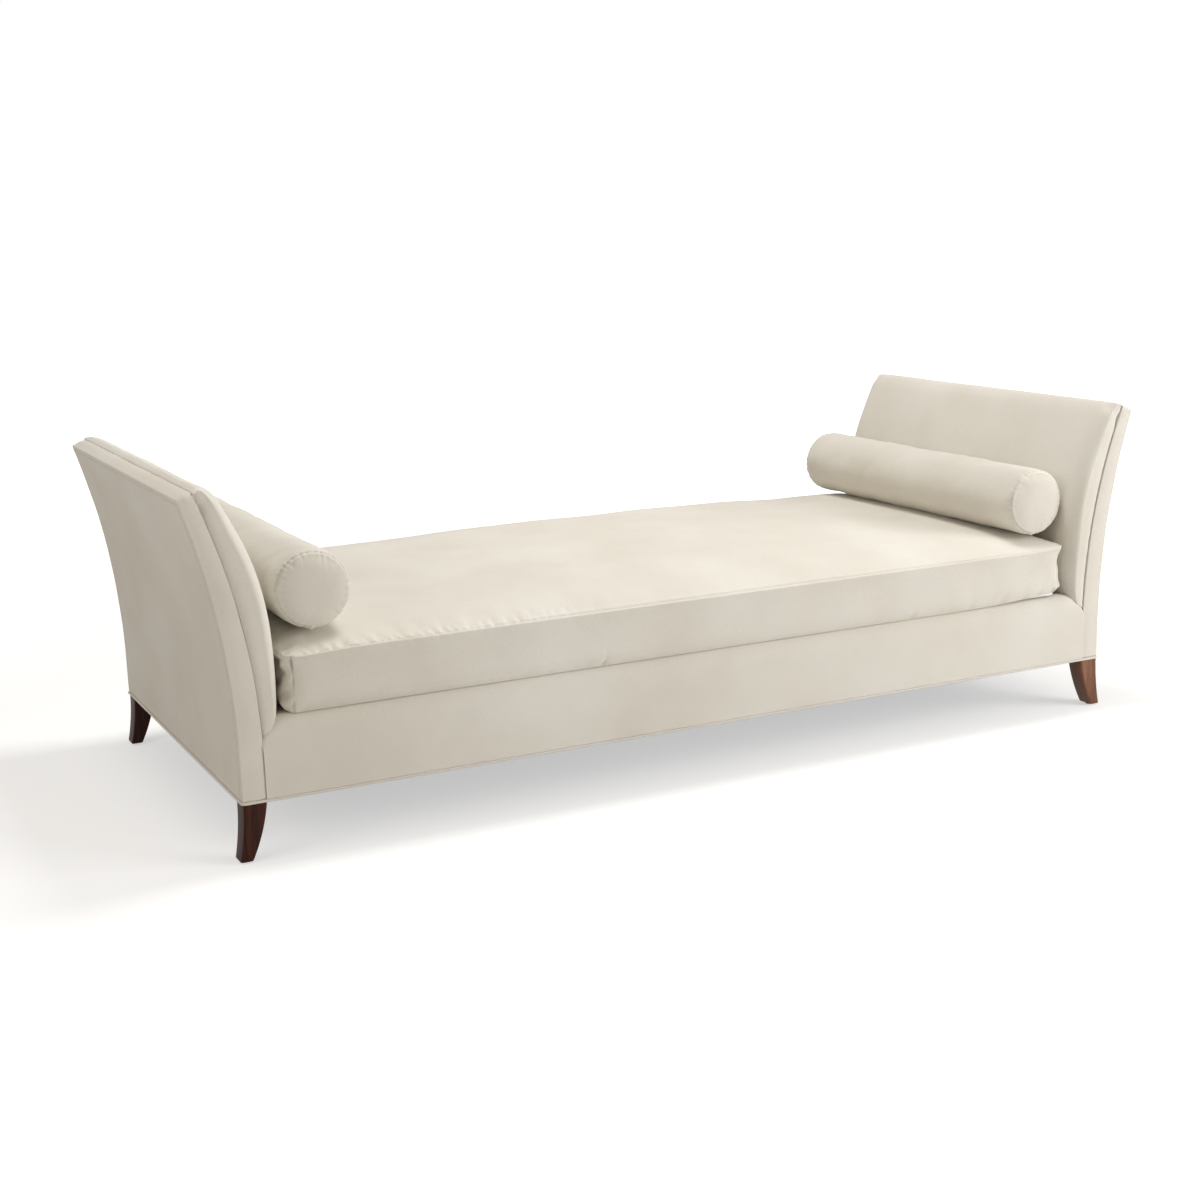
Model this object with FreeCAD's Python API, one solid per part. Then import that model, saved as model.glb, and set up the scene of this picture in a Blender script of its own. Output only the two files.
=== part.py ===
import FreeCAD, Part
import math
import os

# Backless divan: a sprung wooden base on four sabre legs, two padded arms that flare outwards,
# a loose crowned mattress and two loose bolsters. Millimetres; X runs along the length, -Y is the
# front, Z is up and the floor is z = 0.

V = FreeCAD.Vector

# Overall sizes
LENGTH = 2184.0
DEPTH = 920.0
HEIGHT = 705.0
UNDERSIDE = 112.0

# Coverings
SKIN = 3.0
WELT_DIAMETER = 6.0
GAP = 0.2
FACE_Y = DEPTH / 2 - WELT_DIAMETER / 2
WOOD_Y = FACE_Y - SKIN
SKIN_BOTTOM = UNDERSIDE + WELT_DIAMETER + GAP

# Arms: each face stands plumb up to FLARE_START and then follows an arc outwards
FLARE_START = 200.0
BASE_FACE_X = 1013.0
OUTER_TOP_Z = 682.0
SEAM_FOOT_X = 967.0
SEAM_TOP_X = 1063.0
SEAM_TOP_Z = 692.0
WEBBING_THICKNESS = 2.0

# Base frame
BOARD = 28.0
RAIL_TOP = 226.0
END_RAIL_INNER_X = 982.0
CORNER_BLOCK = 80.0
STRETCHER_X = 305.0
CORNER_BOLT_Z = 190.0
CORNER_BOLT_LENGTH = 90.0

# Deck
STRAP_WIDTH = 60.0
STRAP_THICKNESS = 2.0
CROSS_STRAPS = 12
CROSS_STRAP_PITCH = 148.0
LONG_STRAPS = 5
LONG_STRAP_PITCH = 150.0
DECK_TOP = 268.5
DECK_HALF_LENGTH = 922.0
EDGE_ROLL_WIDTH = 40.0
EDGE_RADIUS = 22.0

# Inside arm pad
PAD_BOTTOM_Z = 236.0
PAD_FACE_X = 927.5

# Mattress
MATTRESS_LEFT = -920.0
MATTRESS_RIGHT = 912.0
MATTRESS_DEPTH = 916.0
MATTRESS_BOTTOM = 268.8
MATTRESS_SEAM = 386.0
MATTRESS_CROWN = 50.0
MATTRESS_END_CROWN = 19.5
MATTRESS_DRAW_IN = 5.0
MATTRESS_CORNER = 28.0
MATTRESS_HEEL = 14.0
MATTRESS_END_ROLL = 55.0
FILLING_INSET = 14.0
FILLING_CORNER = 22.0
FILLING_CLEARANCE = 6.0
WRAP_THICKNESS = 16.0

# Bolsters
BOLSTER_RADIUS = 75.0
BOLSTER_LENGTH = 830.0
BOLSTER_CENTRE_Z = 486.5
BOLSTER_LEFT_X = -838.0
BOLSTER_RIGHT_X = 856.0
BOLSTER_DOME = 14.0
BOLSTER_STEPS = 3
BOLSTER_PADDING = 6.0

# Legs
LEG_WIDTH = 45.0
LEG_DEPTH = 47.0
FOOT_WIDTH = 24.0
FOOT_DEPTH = 39.0
FOOT_OUTER_X = 1023.0
GLIDE_THICKNESS = 3.0
GLIDE_RADIUS = 8.0
BOLT_RADIUS = 4.0

# Zips
MATTRESS_ZIP_LENGTH = 1500.0
BOLSTER_ZIP_LENGTH = 730.0
ZIP_TAPE = 22.0
TAPE_THICKNESS = 1.0
CHAIN_WIDTH = 5.0
CHAIN_HEIGHT = 0.8
SLIDER_LENGTH = 10.0
SLIDER_CLEARANCE = 0.3

parts = {}


def save(name, shape):
    """Keep a piece under its node name."""
    parts[name] = shape


def mirrored(shape):
    """The same piece on the other end of the divan."""
    return shape.mirror(V(0, 0, 0), V(1, 0, 0))


def save_pair(name, right_shape):
    """Keep a right-hand piece and its left-hand twin."""
    save(name + "_right", right_shape)
    save(name + "_left", mirrored(right_shape))


def box(x_span, y_span, z_span):
    """A box between two values on each axis."""
    size = [span[1] - span[0] for span in (x_span, y_span, z_span)]
    return Part.makeBox(size[0], size[1], size[2], V(x_span[0], y_span[0], z_span[0]))


def segment(a, b):
    return Part.LineSegment(a, b).toShape()


def bow(a, through, b):
    return Part.Arc(a, through, b).toShape()


def across(edges, y_span):
    """Close the edges, drawn in the XZ plane, and extrude them along Y."""
    face = Part.Face(Part.Wire(Part.__sortEdges__(edges)))
    face.translate(V(0, y_span[0], 0))
    return face.extrude(V(0, y_span[1] - y_span[0], 0))


def lengthwise(edges, half_length):
    """Close the edges, drawn in the YZ plane, and extrude them both ways along X."""
    face = Part.Face(Part.Wire(Part.__sortEdges__(edges)))
    face.translate(V(-half_length, 0, 0))
    return face.extrude(V(2 * half_length, 0, 0))


class Flare:
    """One face of an arm in section: plumb from the floor up, then an arc that leans outwards."""

    def __init__(self, foot_x, radius):
        self.foot_x = foot_x
        self.radius = radius

    def moved(self, outwards):
        """The parallel face that lies further out."""
        return Flare(self.foot_x + outwards, self.radius - outwards)

    def x_at(self, z):
        rise = max(z - FLARE_START, 0.0)
        return self.foot_x + self.radius - math.sqrt(self.radius ** 2 - rise ** 2)

    def point(self, z):
        return V(self.x_at(z), 0, z)

    def edges(self, low, high):
        start = max(low, FLARE_START)
        result = [bow(self.point(start), self.point((start + high) / 2), self.point(high))]
        if low < FLARE_START:
            result.append(segment(self.point(low), self.point(FLARE_START)))
        return result


def flare_through(foot_x, top_x, top_z):
    """The flare that starts plumb at foot_x and passes through its top corner."""
    run = top_x - foot_x
    rise = top_z - FLARE_START
    return Flare(foot_x, (rise ** 2 + run ** 2) / (2 * run))


OUTSIDE = flare_through(BASE_FACE_X, LENGTH / 2, OUTER_TOP_Z)
SEAM = flare_through(SEAM_FOOT_X, SEAM_TOP_X, SEAM_TOP_Z)


def arm_top_z(flare, drop):
    """Height where a flare meets the sloping top of the arm, lowered by drop."""
    slope = (SEAM_TOP_Z - OUTER_TOP_Z) / (SEAM_TOP_X - LENGTH / 2)
    z = SEAM_TOP_Z
    for _ in range(8):
        z = SEAM_TOP_Z - drop + slope * (flare.x_at(z) - SEAM_TOP_X)
    return z


def arm_slice(inner, outer, low, drop, y_span):
    """A slice of the arm between two flares, from low up to the arm's top less drop."""
    inner_top = arm_top_z(inner, drop)
    outer_top = arm_top_z(outer, drop)
    edges = inner.edges(low, inner_top) + outer.edges(low, outer_top)
    edges.append(segment(inner.point(low), outer.point(low)))
    edges.append(segment(inner.point(inner_top), outer.point(outer_top)))
    return across(edges, y_span)


def arm_bar(inner, outer, z_span, y_span):
    """A bar of the arm between two flares and two level faces."""
    low, high = z_span
    edges = inner.edges(low, high) + outer.edges(low, high)
    edges.append(segment(inner.point(low), outer.point(low)))
    edges.append(segment(inner.point(high), outer.point(high)))
    return across(edges, y_span)


def corner_bolts():
    """One bolt through each post into the end of the front or back rail."""
    bolts = []
    head_x = OUTSIDE.moved(-SKIN - GAP).x_at(0) - 1
    for side in (-1, 1):
        for front in (-1, 1):
            head = V(side * head_x, front * (WOOD_Y - BOARD / 2), CORNER_BOLT_Z)
            bolts.append(Part.makeCylinder(BOLT_RADIUS, CORNER_BOLT_LENGTH, head, V(-side, 0, 0)))
    return bolts


def leg_bolts():
    """Hanger bolts that hold the legs up into the posts."""
    bolts = []
    for side in (-1, 1):
        for front in (-1, 1):
            foot = V(side * 989.0, front * (WOOD_Y - BOARD / 2), UNDERSIDE - 28)
            bolts.append(Part.makeCylinder(BOLT_RADIUS, 66.0, foot))
    return bolts


def build_frame(bolts):
    """Hardwood rails, posts, blocks and stretchers, bored for their bolts."""
    holes = Part.makeCompound(bolts)
    rail_half = SEAM.moved(WEBBING_THICKNESS + 2 * GAP).foot_x
    inner_y = WOOD_Y - BOARD
    end_rail_outer = OUTSIDE.moved(-SKIN - GAP)
    for name, front in (("front_rail", -1), ("back_rail", 1)):
        faces = sorted((front * WOOD_Y, front * inner_y))
        rail = box((-rail_half, rail_half), faces, (UNDERSIDE, RAIL_TOP))
        save(name, rail.cut(holes))
    end_rail = box((END_RAIL_INNER_X, end_rail_outer.foot_x), (-inner_y, inner_y), (UNDERSIDE, RAIL_TOP))
    save_pair("end_rail", end_rail)

    post_inner = SEAM.moved(WEBBING_THICKNESS + 2 * GAP)
    post = arm_slice(post_inner, end_rail_outer, UNDERSIDE, SKIN + GAP, (-WOOD_Y, -inner_y))
    for side, side_name in ((1, "right"), (-1, "left")):
        for front, front_name in ((1, "front"), (-1, "back")):
            piece = post if front == 1 else post.mirror(V(0, 0, 0), V(0, 1, 0))
            piece = piece if side == 1 else mirrored(piece)
            save("arm_post_%s_%s" % (front_name, side_name), piece.cut(holes))

    top_rail = arm_slice(post_inner, end_rail_outer, 636.0, SKIN + GAP, (-inner_y, inner_y))
    save_pair("arm_top_rail", top_rail)
    tack_rail = arm_bar(post_inner, post_inner.moved(20.0), (258.0, 300.0), (-inner_y, inner_y))
    save_pair("arm_tack_rail", tack_rail)

    blocks = []
    for side in (-1, 1):
        for front in (-1, 1):
            x = side * END_RAIL_INNER_X
            y = front * inner_y
            low = UNDERSIDE + 4
            corner = [V(x, y, low), V(x - side * CORNER_BLOCK, y, low), V(x, y - front * CORNER_BLOCK, low)]
            face = Part.Face(Part.makePolygon(corner + [corner[0]]))
            blocks.append(face.extrude(V(0, 0, RAIL_TOP - 8 - low)))
    save("corner_blocks", Part.makeCompound(blocks))

    stretchers = []
    for x in (-STRETCHER_X, STRETCHER_X):
        stretchers.append(box((x - 16, x + 16), (-inner_y, inner_y), (UNDERSIDE + 10, UNDERSIDE + 74)))
    save("centre_stretchers", Part.makeCompound(stretchers))


def woven_strap(row):
    """One lengthwise strap that passes over and under the cross straps in turn."""
    reach = END_RAIL_INNER_X + 24
    half = STRAP_WIDTH / 2 + 4
    step = STRAP_THICKNESS + GAP
    upper = [V(-reach, 0, RAIL_TOP), V(-END_RAIL_INNER_X, 0, RAIL_TOP)]
    for column in range(CROSS_STRAPS):
        x = (column - (CROSS_STRAPS - 1) / 2) * CROSS_STRAP_PITCH
        z = RAIL_TOP + (step if (row + column) % 2 else -step)
        upper += [V(x - half, 0, z), V(x + half, 0, z)]
    upper += [V(END_RAIL_INNER_X, 0, RAIL_TOP), V(reach, 0, RAIL_TOP)]
    lower = [point + V(0, 0, STRAP_THICKNESS) for point in reversed(upper)]
    face = Part.Face(Part.makePolygon(upper + lower + [upper[0]]))
    y = (row - (LONG_STRAPS - 1) / 2) * LONG_STRAP_PITCH
    face.translate(V(0, y - STRAP_WIDTH / 2, 0))
    return face.extrude(V(0, STRAP_WIDTH, 0))


def build_deck():
    """Webbing, felt, foam and cloth that carry the mattress."""
    cross = []
    for column in range(CROSS_STRAPS):
        x = (column - (CROSS_STRAPS - 1) / 2) * CROSS_STRAP_PITCH
        cross.append(box((x - STRAP_WIDTH / 2, x + STRAP_WIDTH / 2), (-WOOD_Y + 8, WOOD_Y - 8),
                         (RAIL_TOP, RAIL_TOP + STRAP_THICKNESS)))
    save("seat_webbing_cross", Part.makeCompound(cross))
    save("seat_webbing_long", Part.makeCompound([woven_strap(row) for row in range(LONG_STRAPS)]))

    roll_inner_y = WOOD_Y - EDGE_ROLL_WIDTH
    length = (-DECK_HALF_LENGTH, DECK_HALF_LENGTH)
    width = (-roll_inner_y + GAP, roll_inner_y - GAP)
    felt_bottom = RAIL_TOP + 2 * STRAP_THICKNESS + 3 * GAP
    save("deck_insulator", box(length, width, (felt_bottom, felt_bottom + 3)))
    save("deck_pad", box(length, width, (felt_bottom + 3 + GAP, DECK_TOP - SKIN / 2 - GAP)))
    save("deck_cover", box(length, width, (DECK_TOP - SKIN / 2, DECK_TOP)))


def border_edges(inset, low, back):
    """Section of a front border: plumb, then a quarter round over the edge of the deck."""
    radius = EDGE_RADIUS - inset
    face_y = -FACE_Y + inset
    top = DECK_TOP - inset
    turn = V(0, face_y, top - radius)
    middle = V(0, face_y + radius * (1 - math.sqrt(0.5)), top - radius * (1 - math.sqrt(0.5)))
    over = V(0, face_y + radius, top)
    edges = [segment(V(0, face_y, low), turn), bow(turn, middle, over), segment(over, V(0, back, top))]
    return edges, V(0, face_y, low), V(0, back, top)


def build_borders(pad_clearance):
    """Upholstered front and back of the base, over a foam edge roll on the rail."""
    back = -(WOOD_Y - EDGE_ROLL_WIDTH)
    outer, outer_low, outer_back = border_edges(0.0, SKIN_BOTTOM, back)
    inner, inner_low, inner_back = border_edges(SKIN, SKIN_BOTTOM, back)
    ends = [segment(outer_low, inner_low), segment(outer_back, inner_back)]
    border = lengthwise(outer + inner + ends, SEAM_FOOT_X - GAP).cut(pad_clearance)
    save("front_border", border)
    save("back_border", border.mirror(V(0, 0, 0), V(0, 1, 0)))

    roll_low = RAIL_TOP + 2 * STRAP_THICKNESS + 2 * GAP
    arc, arc_low, arc_back = border_edges(SKIN + GAP, roll_low, back)
    heel = V(0, back, roll_low)
    roll = lengthwise(arc + [segment(arc_back, heel), segment(heel, arc_low)], DECK_HALF_LENGTH)
    save("front_edge_roll", roll)
    save("back_edge_roll", roll.mirror(V(0, 0, 0), V(0, 1, 0)))


def pad_section(y, inset):
    """Section of the inside arm pad: tucked in below, full at the shoulder, thin at the top."""
    outer = SEAM.moved(-GAP)
    top_z = arm_top_z(outer, 0.0) + 1.0
    face_x = PAD_FACE_X + inset
    tuck = outer.point(PAD_BOTTOM_Z)
    cheek = V(face_x, 0, PAD_BOTTOM_Z + 40)
    chest = V(face_x + 0.5, 0, 420)
    shoulder = V(1005 + 0.8 * inset, 0, 664 - 0.4 * inset)
    lip = V(1046, 0, HEIGHT - 1.5 - inset)
    end = outer.point(top_z)
    edges = [bow(tuck, V(face_x + 12, 0, PAD_BOTTOM_Z + 13), cheek)]
    edges.append(bow(cheek, V(face_x - 3, 0, 348), chest))
    edges.append(bow(chest, V(951 + 0.9 * inset, 0, 546 - 0.3 * inset), shoulder))
    edges.append(bow(shoulder, V(1022 + 0.6 * inset, 0, 692 - 0.7 * inset), lip))
    edges.append(bow(lip, V(1057.5, 0, HEIGHT - 4 - 0.8 * inset), end))
    edges.append(bow(end, outer.point((top_z + PAD_BOTTOM_Z) / 2), tuck))
    wire = Part.Wire(edges)
    wire.translate(V(0, y, 0))
    return wire


def arm_pad():
    """Crowned pad on the inside of the arm, softened towards its front and back edges."""
    rims = ((FACE_Y, 8.0), (FACE_Y - 5, 2.5), (FACE_Y - 16, 0.0))
    sections = [pad_section(-y, inset) for y, inset in rims]
    sections += [pad_section(y, inset) for y, inset in reversed(rims)]
    return Part.makeLoft(sections, True, True)


def build_arms(pad):
    """Outside panels, bands, webbing and pads over the arm frames."""
    panel = arm_slice(OUTSIDE.moved(-SKIN), OUTSIDE, SKIN_BOTTOM, 0.0, (-FACE_Y, FACE_Y))
    save_pair("outside_arm_panel", panel)

    band_outer = OUTSIDE.moved(-SKIN - 0.05)
    band = arm_slice(SEAM, band_outer, SKIN_BOTTOM, 0.0, (-FACE_Y, FACE_Y))
    hollow = arm_slice(SEAM.moved(-5), band_outer.moved(5), SKIN_BOTTOM - 5, SKIN, (-WOOD_Y, WOOD_Y))
    save_pair("arm_band", band.cut(hollow))

    webbing_inner = SEAM.moved(GAP)
    webbing_outer = SEAM.moved(GAP + WEBBING_THICKNESS)
    webbing = arm_bar(webbing_inner, webbing_outer, (262.0, 670.0), (-WOOD_Y + 6, WOOD_Y - 6))
    save_pair("arm_webbing", webbing)
    save_pair("inside_arm_pad", pad)


def mattress_section(x, from_end, turn):
    """Arched section across the mattress at x, drawn in at the boxing and full at the shoulders."""
    middle = (MATTRESS_LEFT + MATTRESS_RIGHT) / 2
    half_length = (MATTRESS_RIGHT - MATTRESS_LEFT) / 2
    along = abs(x - middle) / half_length
    rise = math.sqrt(1 - (1 - min(from_end / MATTRESS_END_ROLL, 1)) ** 2)
    crown = max(1.0, (MATTRESS_CROWN + (MATTRESS_END_CROWN - MATTRESS_CROWN) * along ** 2) * rise)
    half = MATTRESS_DEPTH / 2 - MATTRESS_CORNER * (1 - math.sin(turn))
    low = MATTRESS_BOTTOM + MATTRESS_HEEL * (1 - math.sin(turn))
    seam = MATTRESS_SEAM - 4 * (1 - rise)
    waist = half - MATTRESS_DRAW_IN
    side = low + MATTRESS_HEEL
    shoulder = half - 85

    def at(y, z):
        return V(x, y, z)

    def half_edges(sign):
        return [bow(at(sign * (half - 12), low), at(sign * (half - 3.5), low + 4), at(sign * half, side)),
                bow(at(sign * half, side), at(sign * waist, (side + seam) / 2), at(sign * half, seam)),
                bow(at(sign * half, seam), at(sign * (half - 34), seam + 0.56 * crown),
                    at(sign * shoulder, seam + 0.82 * crown))]

    right = half_edges(1)
    left = [edge.reversed() for edge in reversed(half_edges(-1))]
    top = bow(at(shoulder, seam + 0.82 * crown), at(0, seam + crown), at(-shoulder, seam + 0.82 * crown))
    base = segment(at(-(half - 12), low), at(half - 12, low))
    return Part.Wire(right + [top] + left + [base])


def mattress_form():
    """Crowned cushion with drawn-in sides, rounded in plan at its corners and rolled at its ends."""
    stations = []
    for degrees in (0, 30, 60, 90):
        turn = math.radians(degrees)
        stations.append((MATTRESS_CORNER * (1 - math.cos(turn)), turn))
    stations.append((MATTRESS_END_ROLL, math.pi / 2))
    quarter = (MATTRESS_RIGHT - MATTRESS_LEFT) / 4
    stations.append((quarter, math.pi / 2))
    sections = [mattress_section(MATTRESS_LEFT + distance, distance, turn) for distance, turn in stations]
    sections.append(mattress_section(MATTRESS_LEFT + 2 * quarter, 2 * quarter, math.pi / 2))
    for distance, turn in reversed(stations):
        sections.append(mattress_section(MATTRESS_RIGHT - distance, distance, turn))
    return Part.makeLoft(sections, True, True)


def mattress_block(shrink):
    """Block with rounded upright corners: the room inside the cover, smaller all round by shrink."""
    inset = FILLING_INSET + shrink
    block = box((MATTRESS_LEFT + inset, MATTRESS_RIGHT - inset),
                (-MATTRESS_DEPTH / 2 + inset, MATTRESS_DEPTH / 2 - inset),
                (MATTRESS_BOTTOM + FILLING_CLEARANCE + shrink, MATTRESS_SEAM - FILLING_CLEARANCE - shrink))
    upright = [edge for edge in block.Edges if abs(edge.Vertexes[0].Z - edge.Vertexes[1].Z) > 1]
    return block.makeFillet(FILLING_CORNER - shrink, upright)


def zip_slider():
    """Slider and flat pull in one; the zip runs along X and the chain's top is z = 0."""
    half = SLIDER_LENGTH / 2
    nose = [V(-half, -3, 0), V(-half + 2, -4, 0), V(half, -3, 0),
            V(half, 3, 0), V(-half + 2, 4, 0), V(-half, 3, 0)]
    body = Part.Face(Part.makePolygon(nose + [nose[0]])).extrude(V(0, 0, 3.0))
    pull = Part.makeBox(24, 5, 1.0, V(-2, -2.5, 3.0))
    eye = Part.makeBox(4, 2, 2.0, V(16, -1, 2.5))
    piece = body.fuse(pull.cut(eye)).removeSplitter()
    piece.translate(V(0, 0, SLIDER_CLEARANCE))
    return piece


def build_mattress():
    """Foam core, fibre wrap and boxed cover with its zip along the back."""
    save("mattress_cover", mattress_form().cut(mattress_block(0.0)))
    core = mattress_block(GAP + WRAP_THICKNESS)
    save("mattress_wrap", mattress_block(GAP).cut(core))
    save("mattress_core", core)

    back = MATTRESS_DEPTH / 2 - MATTRESS_DRAW_IN
    height = (MATTRESS_BOTTOM + 14 + MATTRESS_SEAM) / 2
    half = MATTRESS_ZIP_LENGTH / 2
    tape_y = back + 0.4
    tape = box((-half, half), (tape_y, tape_y + TAPE_THICKNESS),
               (height - ZIP_TAPE / 2, height + ZIP_TAPE / 2))
    chain_y = tape_y + TAPE_THICKNESS
    chain = box((-half, half), (chain_y, chain_y + CHAIN_HEIGHT),
                (height - CHAIN_WIDTH / 2, height + CHAIN_WIDTH / 2))
    save("mattress_zip", tape.fuse(chain).removeSplitter())

    slider = zip_slider()
    slider.rotate(V(0, 0, 0), V(1, 0, 0), -90)
    slider.translate(V(-half + SLIDER_LENGTH, chain_y + CHAIN_HEIGHT, height))
    save("mattress_zip_slider", slider)


def bolster_form():
    """Cylinder along Y whose ends dome softly inside their seams, turned from straight chords."""
    end = BOLSTER_LENGTH / 2
    rim = end - BOLSTER_DOME
    outline = []
    for step in range(BOLSTER_STEPS + 1):
        share = step / BOLSTER_STEPS
        outline.append((share * (BOLSTER_RADIUS - 4), end - BOLSTER_DOME * share ** 3))
    outline.append((BOLSTER_RADIUS - 1, rim - 5))
    outline.append((BOLSTER_RADIUS, rim - 12))
    points = [V(r, y, 0) for r, y in outline] + [V(r, -y, 0) for r, y in reversed(outline)]
    face = Part.Face(Part.makePolygon(points + [points[0]]))
    return face.revolve(V(0, 0, 0), V(0, 1, 0), 360)


def bolster_roll(inset):
    """Plain roll inside a bolster, smaller all round by inset."""
    end = BOLSTER_LENGTH / 2 - BOLSTER_DOME - inset
    return Part.makeCylinder(BOLSTER_RADIUS - inset, 2 * end, V(0, -end, 0), V(0, 1, 0))


def around_bolster(inner, outer, half_length, width):
    """Curved strip that lies on the bolster, centred below it."""
    turn = math.degrees(width / inner)
    start = V(0, -half_length, 0)
    ring = Part.makeCylinder(outer, 2 * half_length, start, V(0, 1, 0), turn)
    ring = ring.cut(Part.makeCylinder(inner, 2 * half_length, start, V(0, 1, 0))).Solids[0]
    middle = ring.CenterOfMass
    ring.rotate(V(0, 0, 0), V(0, 1, 0), math.degrees(math.atan2(middle.z, middle.x)) + 90)
    return ring


def build_bolster(side, name, centre_x):
    """Fibre insert, cover, and the zip low down on the side that faces the arm."""
    cover = bolster_form().cut(bolster_roll(BOLSTER_PADDING))
    insert = bolster_roll(BOLSTER_PADDING + GAP)
    tape_in = BOLSTER_RADIUS + 0.05
    chain_in = tape_in + TAPE_THICKNESS
    half = BOLSTER_ZIP_LENGTH / 2
    tape = around_bolster(tape_in, chain_in + 0.1, half, ZIP_TAPE)
    chain = around_bolster(chain_in, chain_in + CHAIN_HEIGHT, half, CHAIN_WIDTH)
    slider = zip_slider()
    slider.rotate(V(0, 0, 0), V(0, 0, 1), 90)
    slider.rotate(V(0, 0, 0), V(1, 0, 0), 180)
    slider.translate(V(0, half - SLIDER_LENGTH, -(chain_in + CHAIN_HEIGHT)))
    zip_fastener = tape.fuse(chain).removeSplitter()
    pieces = {"cover": cover, "insert": insert, "zip": zip_fastener, "zip_slider": slider}
    for piece_name, shape in pieces.items():
        if piece_name.startswith("zip"):
            shape.rotate(V(0, 0, 0), V(0, 1, 0), -side * 45)
        shape.translate(V(centre_x, 0, BOLSTER_CENTRE_Z))
        save("bolster_%s_%s" % (name, piece_name), shape)


def build_legs(bolts):
    """Sabre legs that sweep outwards, each on a plastic glide."""
    outer_top = V(BASE_FACE_X - 2, 0, UNDERSIDE)
    inner_top = outer_top - V(LEG_WIDTH, 0, 0)
    outer_foot = V(FOOT_OUTER_X, 0, GLIDE_THICKNESS)
    inner_foot = outer_foot - V(FOOT_WIDTH, 0, 0)
    outer_middle = (outer_top + outer_foot) * 0.5 - V(3, 0, 0)
    inner_middle = (inner_top + inner_foot) * 0.5 - V(5, 0, 0)
    profile = [segment(inner_top, outer_top), bow(outer_top, outer_middle, outer_foot),
               segment(outer_foot, inner_foot), bow(inner_foot, inner_middle, inner_top)]
    blank = across(profile, (-FACE_Y, -FACE_Y + LEG_DEPTH))
    back_top = V(0, -FACE_Y + LEG_DEPTH, UNDERSIDE)
    back_foot = V(0, -FACE_Y + FOOT_DEPTH, GLIDE_THICKNESS)
    behind = V(0, 0, UNDERSIDE)
    below = V(0, 0, GLIDE_THICKNESS)
    taper = Part.Face(Part.makePolygon([back_top, back_foot, below, behind, back_top]))
    leg = blank.cut(taper.extrude(V(2 * BASE_FACE_X, 0, 0))).cut(Part.makeCompound(bolts))
    save_pair("leg_front", leg)
    save_pair("leg_back", leg.mirror(V(0, 0, 0), V(0, 1, 0)))

    glides = []
    for side in (-1, 1):
        for front in (-1, 1):
            x = side * (FOOT_OUTER_X - FOOT_WIDTH / 2)
            y = front * (FACE_Y - FOOT_DEPTH / 2)
            glides.append(Part.makeCylinder(GLIDE_RADIUS, GLIDE_THICKNESS, V(x, y, 0)))
    save("leg_glides", Part.makeCompound(glides))


def build_trim():
    """Piped welt round the bottom of the base, and the cloth under it."""
    radius = WELT_DIAMETER / 2
    z = UNDERSIDE + radius
    corners = [V(0, -FACE_Y, z), V(BASE_FACE_X, -FACE_Y, z), V(BASE_FACE_X, FACE_Y, z),
               V(-BASE_FACE_X, FACE_Y, z), V(-BASE_FACE_X, -FACE_Y, z), V(0, -FACE_Y, z)]
    ring = Part.Wire(Part.Edge(Part.Circle(corners[0], V(1, 0, 0), radius)))
    sweep = Part.BRepOffsetAPI.MakePipeShell(Part.makePolygon(corners))
    sweep.setTransitionMode(1)
    sweep.add(ring)
    sweep.build()
    sweep.makeSolid()
    save("base_welt", sweep.shape())

    cloth = box((-BASE_FACE_X + 10, BASE_FACE_X - 10), (-WOOD_Y + 8, WOOD_Y - 8), (UNDERSIDE - 1, UNDERSIDE))
    for side in (-1, 1):
        for front in (-1, 1):
            x = sorted((side * (BASE_FACE_X - LEG_WIDTH - 5), side * DEPTH * 2))
            y = sorted((front * (FACE_Y - LEG_DEPTH - 3), front * DEPTH))
            cloth = cloth.cut(box(x, y, (0, UNDERSIDE + 1)))
    save("dust_cover", cloth)


def main():
    posts_to_rails = corner_bolts()
    legs_to_posts = leg_bolts()
    pad = arm_pad()
    pad_clearance = pad.copy()
    pad_clearance.translate(V(-0.35, 0, -0.35))
    pad_clearance = Part.makeCompound([pad_clearance, mirrored(pad_clearance)])

    build_frame(posts_to_rails + legs_to_posts)
    build_deck()
    build_borders(pad_clearance)
    build_arms(pad)
    build_mattress()
    build_bolster(-1, "left", BOLSTER_LEFT_X)
    build_bolster(1, "right", BOLSTER_RIGHT_X)
    build_legs(legs_to_posts)
    build_trim()
    save("corner_bolts", Part.makeCompound(posts_to_rails))
    save("leg_bolts", Part.makeCompound(legs_to_posts))

    os.makedirs("parts", exist_ok=True)
    for name, shape in sorted(parts.items()):
        shape.exportStep("parts/%s.step" % name)
        facts = (name, len(shape.Solids), shape.Volume, shape.isValid())
        print("%-24s %d solid(s) %12.0f mm3 valid %s" % facts)


main()
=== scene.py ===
# %% [markdown]
# # A backless divan
# A long seat with two flared arms, a loose mattress and two loose round bolsters, all covered in
# one pale cotton, on four dark sabre legs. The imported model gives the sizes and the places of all
# its pieces. This lesson dresses it: every covering is cut, rolled into its seams, filled and
# creased as an upholsterer would do it.

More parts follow.
